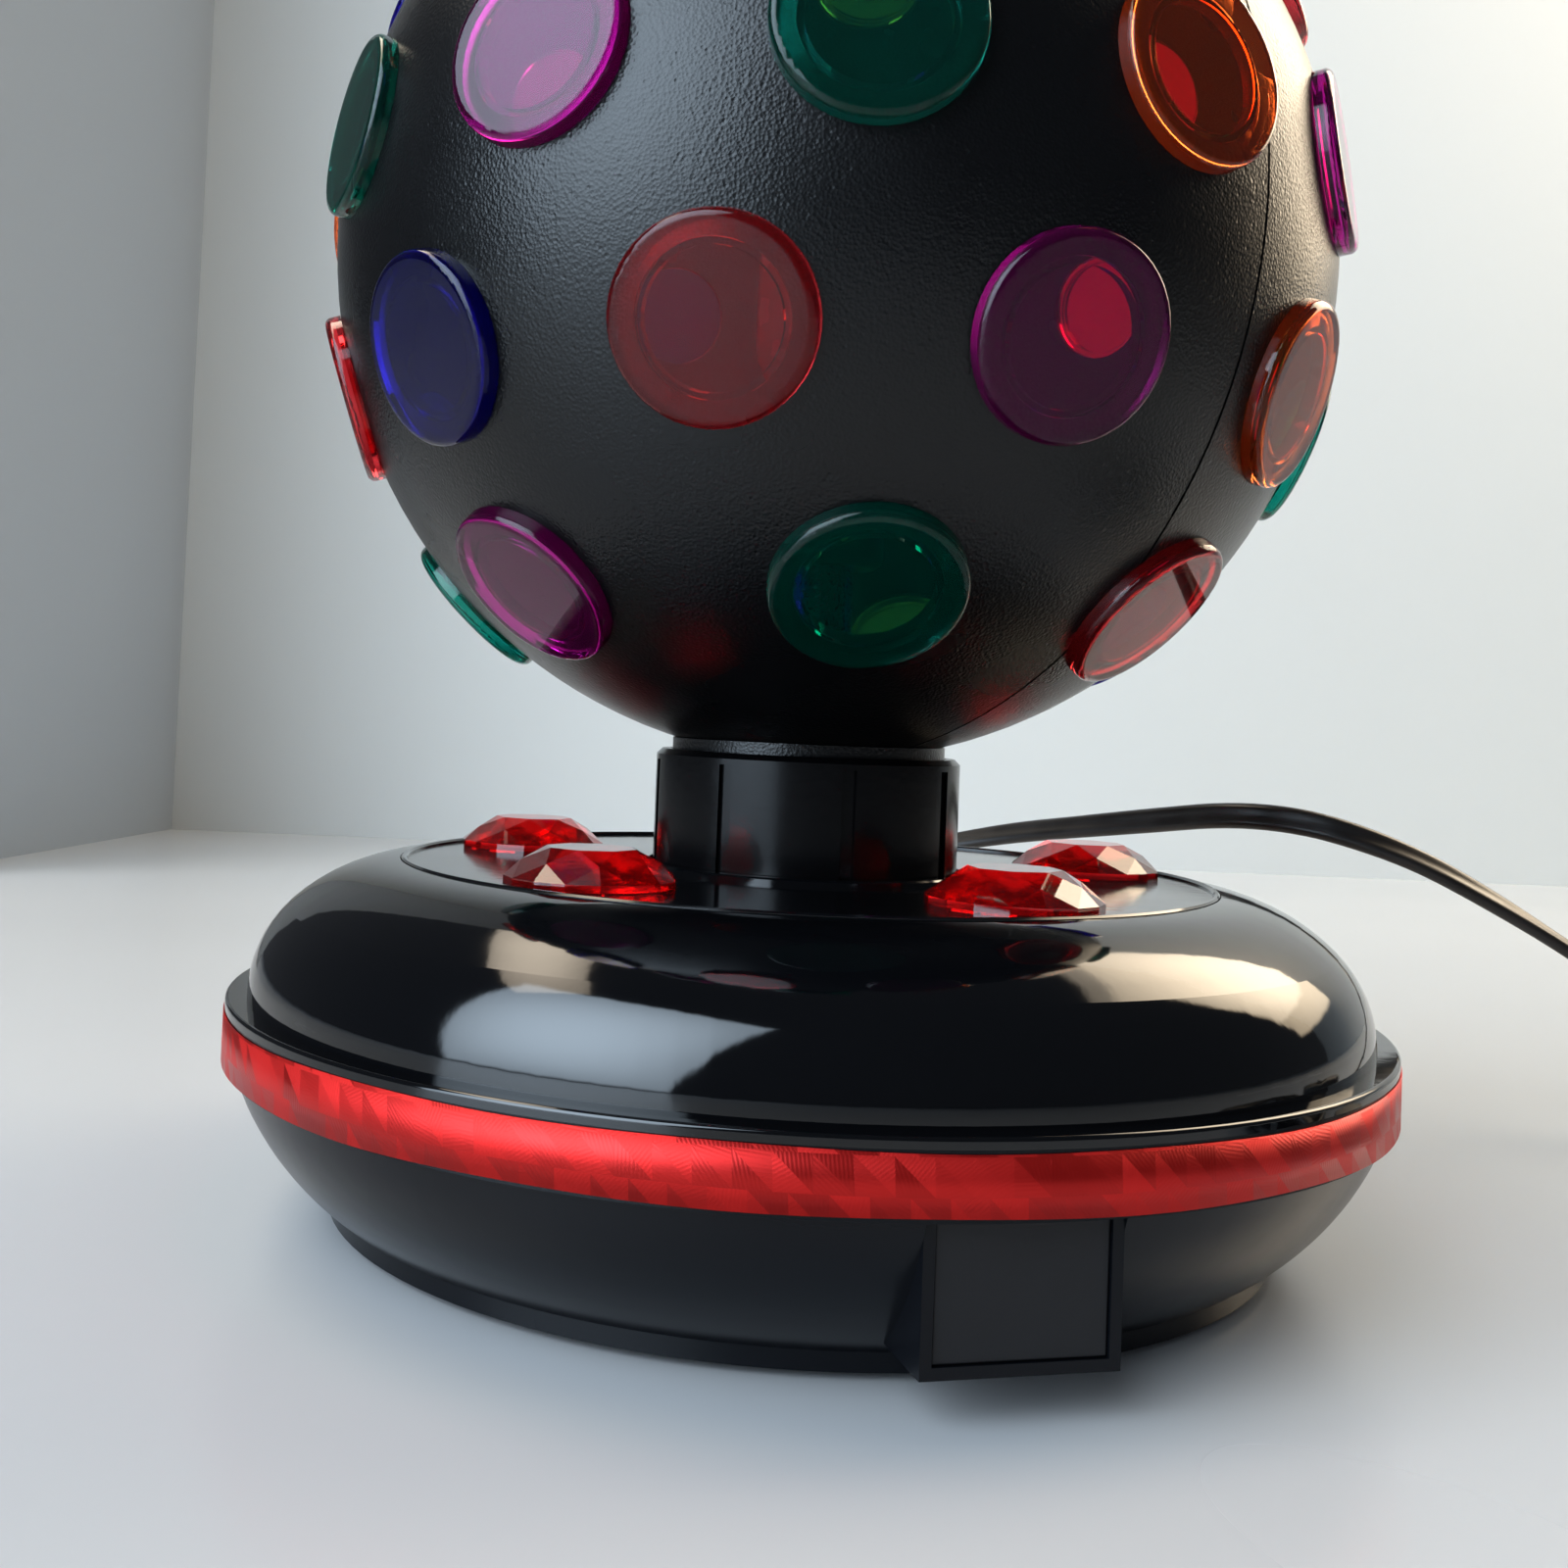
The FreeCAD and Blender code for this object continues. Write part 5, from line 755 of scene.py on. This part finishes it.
class LAMP_OT_switch(bpy.types.Operator):
    """Inline rocker switch"""

    bl_idname = "lamp.switch"
    bl_label = "Cord switch"

    def execute(self, context):
        dress(plastic("switch_plastic", (0.014, 0.013, 0.013), 0.33, size=0.006).material, "switch_lower",
              "switch_upper")
        dress(plastic("rocker_plastic", (0.02, 0.019, 0.019), 0.22, size=0.005).material, "switch_rocker")
        return {"FINISHED"}


class LAMP_OT_plug(bpy.types.Operator):
    """Moulded two-blade plug"""

    bl_idname = "lamp.plug"
    bl_label = "Plug"

    def execute(self, context):
        dress(plastic("plug_vinyl", (0.016, 0.013, 0.012), 0.4, size=0.005).material, "plug_body")
        dress(metal("blade_brass", (0.72, 0.58, 0.30), 0.25).material, "plug_blades")
        return {"FINISHED"}


class LAMP_OT_stage(bpy.types.Operator):
    """Camera, pale floor and wall, and soft studio light"""

    bl_idname = "lamp.stage"
    bl_label = "Stage"

    camera_spot = Vector((-0.10269, -0.32573, 0.0990))
    yaw = math.radians(17.5) - 0.076287
    pitch = 0.034538
    roll = 0.041102
    middle_x, middle_y = 700.14, 666.11
    frame_size = 1600
    # the walls, in metres: how far ahead of the camera, how far to the left their corner is, how far the
    # grey one comes forward and leans out, and their height and length
    wall_distance = 1.16
    corner_offset = 0.357
    grey_depth = 0.34
    grey_lean = 0.03
    wall_height = 1.6
    wall_length = 2.2
    table_size = 4.0
    aim = Vector((0, 0, 0.08))
    room_color = (0.84, 0.90, 1.0)
    room_strength = 0.07

    def execute(self, context):
        stage = context.scene.lamp_stage
        self.camera(context, stage)
        self.floor(stage)
        self.lights(context, stage)
        context.scene.view_settings.view_transform = "Standard"
        return {"FINISHED"}

    def camera(self, context, stage):
        data = bpy.data.cameras.new("camera")
        data.lens = stage.lens
        data.sensor_width = 36
        data.clip_start = 0.01
        half = self.frame_size / 2
        data.shift_x = (half - self.middle_x) / self.frame_size
        data.shift_y = (self.middle_y - half) / self.frame_size
        forward = Vector((math.sin(self.yaw) * math.cos(self.pitch),
                          math.cos(self.yaw) * math.cos(self.pitch), math.sin(self.pitch)))
        level = Vector((math.cos(self.yaw), -math.sin(self.yaw), 0))
        upright = level.cross(forward)
        right = level * math.cos(self.roll) + upright * math.sin(self.roll)
        up = upright * math.cos(self.roll) - level * math.sin(self.roll)
        turned = Matrix((right, up, -forward)).transposed().to_4x4()
        made = bpy.data.objects.new("camera", data)
        made.matrix_world = Matrix.Translation(self.camera_spot) @ turned
        context.scene.collection.objects.link(made)
        context.scene.camera = made

    def floor(self, stage):
        """A glossy table top, the wall behind it, and a greyer wall that meets it on the left."""
        table = Finish("table_top", Specular_IOR_Level=0.3)
        cloud = table.noise(0.5, detail=2)
        shades = tint(stage.floor_color, 0.97), tint(stage.floor_color, 1.02)
        table.set("Base Color", table.blend(cloud, *shades))
        table.set("Roughness", table.span(cloud, 0.3, 0.7, 0.20, 0.28))
        size = self.table_size
        self.sheet("table_top", table.material,
                   [(-size, -size, 0), (size, -size, 0), (size, size, 0), (-size, size, 0)])
        if not stage.show_wall:
            return
        wall = Finish("wall_paint", Roughness=0.6)
        cloud = wall.noise(0.8, detail=2)
        wall.set("Base Color", wall.blend(cloud, (0.79, 0.81, 0.80), (0.83, 0.85, 0.83)))
        grey = Finish("grey_panel", Roughness=0.5)
        cloud = grey.noise(0.6, detail=2)
        grey.set("Base Color", grey.blend(cloud, (0.34, 0.39, 0.45), (0.38, 0.43, 0.49)))
        ahead = Vector((math.sin(self.yaw), math.cos(self.yaw), 0))
        across = Vector((math.cos(self.yaw), -math.sin(self.yaw), 0))
        middle = Vector((self.camera_spot.x, self.camera_spot.y, 0)) + ahead * self.wall_distance
        corner = middle - across * self.corner_offset
        height = Vector((0, 0, self.wall_height))
        right = middle + across * self.wall_length
        near = corner - ahead * self.grey_depth - across * self.grey_lean
        self.sheet("wall", wall.material, [corner, right, right + height, corner + height])
        self.sheet("grey_wall", grey.material, [near, corner, corner + height, near + height])

    def sheet(self, name, material, corners):
        """One flat face of the stage."""
        bm = bmesh.new()
        bm.faces.new([bm.verts.new(c) for c in corners])
        made = add_object(name, bm, material, smooth=False)

    def lights(self, context, stage):
        """Soft windows: each lights the pieces, is mirrored by them, or does both."""
        # name, azimuth and elevation seen from the base, distance, width and height, brightness, colour,
        # and what it does
        lamps = (
            ("window", -63, 29, 2.30, (2.88, 2.95), 2.75, (0.74, 0.87, 1.0), "lights"),
            ("window_card", -62, 29, 2.32, (2.29, 2.78), 8.2, (0.68, 0.84, 1.0), "mirrored"),
            ("warm_window", 107, 38, 1.35, (0.80, 0.95), 3.2, (1.0, 0.84, 0.64), "both"),
            ("warm_card", 107, 32, 1.37, (0.85, 1.10), 4.8, (1.0, 0.80, 0.55), "mirrored"),
            ("ceiling", -125, 58, 1.45, (1.25, 0.36), 5.5, (1.0, 0.86, 0.68), "both"),
        )
        for name, azimuth, elevation, distance, size, brightness, color, task in lamps:
            turn, rise = math.radians(azimuth), math.radians(elevation)
            level = math.cos(rise)
            toward = Vector((math.sin(turn) * level, -math.cos(turn) * level, math.sin(rise)))
            spot = toward * distance + self.aim
            data = bpy.data.lights.new(name, "AREA")
            data.shape = "RECTANGLE"
            data.size, data.size_y = size
            data.energy = brightness * math.pi * size[0] * size[1] * stage.light
            data.color = color
            self.soften(data)
            made = bpy.data.objects.new(name, data)
            made.visible_diffuse = task != "mirrored"
            made.visible_glossy = task != "lights"
            made.location = spot
            made.rotation_euler = (self.aim - spot).to_track_quat("-Z", "Y").to_euler()
            context.scene.collection.objects.link(made)
        world = bpy.data.worlds.new("studio")
        world.use_nodes = True
        background = world.node_tree.nodes["Background"]
        background.inputs["Color"].default_value = (*self.room_color, 1)
        background.inputs["Strength"].default_value = self.room_strength * stage.light
        context.scene.world = world

    def soften(self, data):
        """Makes an area lamp brighter in its middle and soft at its edges."""
        edge_width = 0.18
        edge_glow, middle_glow = 0.65, 0.9
        data.use_nodes = True
        tree = data.node_tree
        across = tree.nodes.new("ShaderNodeNewGeometry").outputs["Parametric"]
        split = tree.nodes.new("ShaderNodeSeparateXYZ")
        tree.links.new(across, split.inputs["Vector"])

        def step(operation, *values):
            made = tree.nodes.new("ShaderNodeMath")
            made.operation = operation
            for socket, value in zip(made.inputs, values):
                if isinstance(value, (int, float)):
                    socket.default_value = value
                else:
                    tree.links.new(value, socket)
            return made.outputs["Value"]

        # a bow is 0 at two edges of the lamp and 1 in the middle between them
        bows = []
        for axis in ("X", "Y"):
            along = split.outputs[axis]
            bows.append(step("MULTIPLY", step("MULTIPLY", along, step("SUBTRACT", 1.0, along)), 4.0))
        bow = step("MULTIPLY", *bows)
        edge = tree.nodes.new("ShaderNodeMapRange")
        edge.interpolation_type = "SMOOTHSTEP"
        edge.inputs["From Max"].default_value = edge_width
        tree.links.new(step("MINIMUM", *bows), edge.inputs["Value"])
        glow = step("ADD", step("MULTIPLY", bow, middle_glow), edge_glow)
        strength = step("MULTIPLY", edge.outputs["Result"], glow)
        tree.links.new(strength, tree.nodes["Emission"].inputs["Strength"])


class LAMP_PT_panel(bpy.types.Panel):
    """Sizes, colours and steps of the lamp"""

    bl_idname = "LAMP_PT_panel"
    bl_label = "Disco ball lamp"
    bl_space_type = "VIEW_3D"
    bl_region_type = "UI"
    bl_category = "Lamp"

    def draw(self, context):
        layout = self.layout
        for name in GROUPS:
            column = layout.column(align=True)
            settings = getattr(context.scene, name)
            for key in settings.__annotations__:
                column.prop(settings, key)
        for operator in OPERATORS:
            layout.operator(operator.bl_idname)


GROUPS = {
    "lamp_ball": BallSettings,
    "lamp_lens": LensSettings,
    "lamp_base": BaseSettings,
    "lamp_trim": TrimSettings,
    "lamp_cord": CordSettings,
    "lamp_stage": StageSettings,
}
OPERATORS = (
    LAMP_OT_stage,
    LAMP_OT_cord,
    LAMP_OT_ball,
    LAMP_OT_lenses,
    LAMP_OT_neck,
    LAMP_OT_base,
    LAMP_OT_foil,
    LAMP_OT_gems,
    LAMP_OT_lamp,
    LAMP_OT_drive,
    LAMP_OT_fasteners,
    LAMP_OT_switch,
    LAMP_OT_plug,
)


def register():
    for name, group in GROUPS.items():
        bpy.utils.register_class(group)
        setattr(bpy.types.Scene, name, PointerProperty(type=group))
    for operator in OPERATORS:
        bpy.utils.register_class(operator)
    bpy.utils.register_class(LAMP_PT_panel)


def unregister():
    bpy.utils.unregister_class(LAMP_PT_panel)
    for operator in reversed(OPERATORS):
        bpy.utils.unregister_class(operator)
    for name, group in reversed(GROUPS.items()):
        delattr(bpy.types.Scene, name)
        bpy.utils.unregister_class(group)


def main():
    register()
    for operator in OPERATORS:
        family, action = operator.bl_idname.split(".")
        getattr(getattr(bpy.ops, family), action)()
    bpy.context.view_layer.update()


if __name__ == "__main__":
    main()
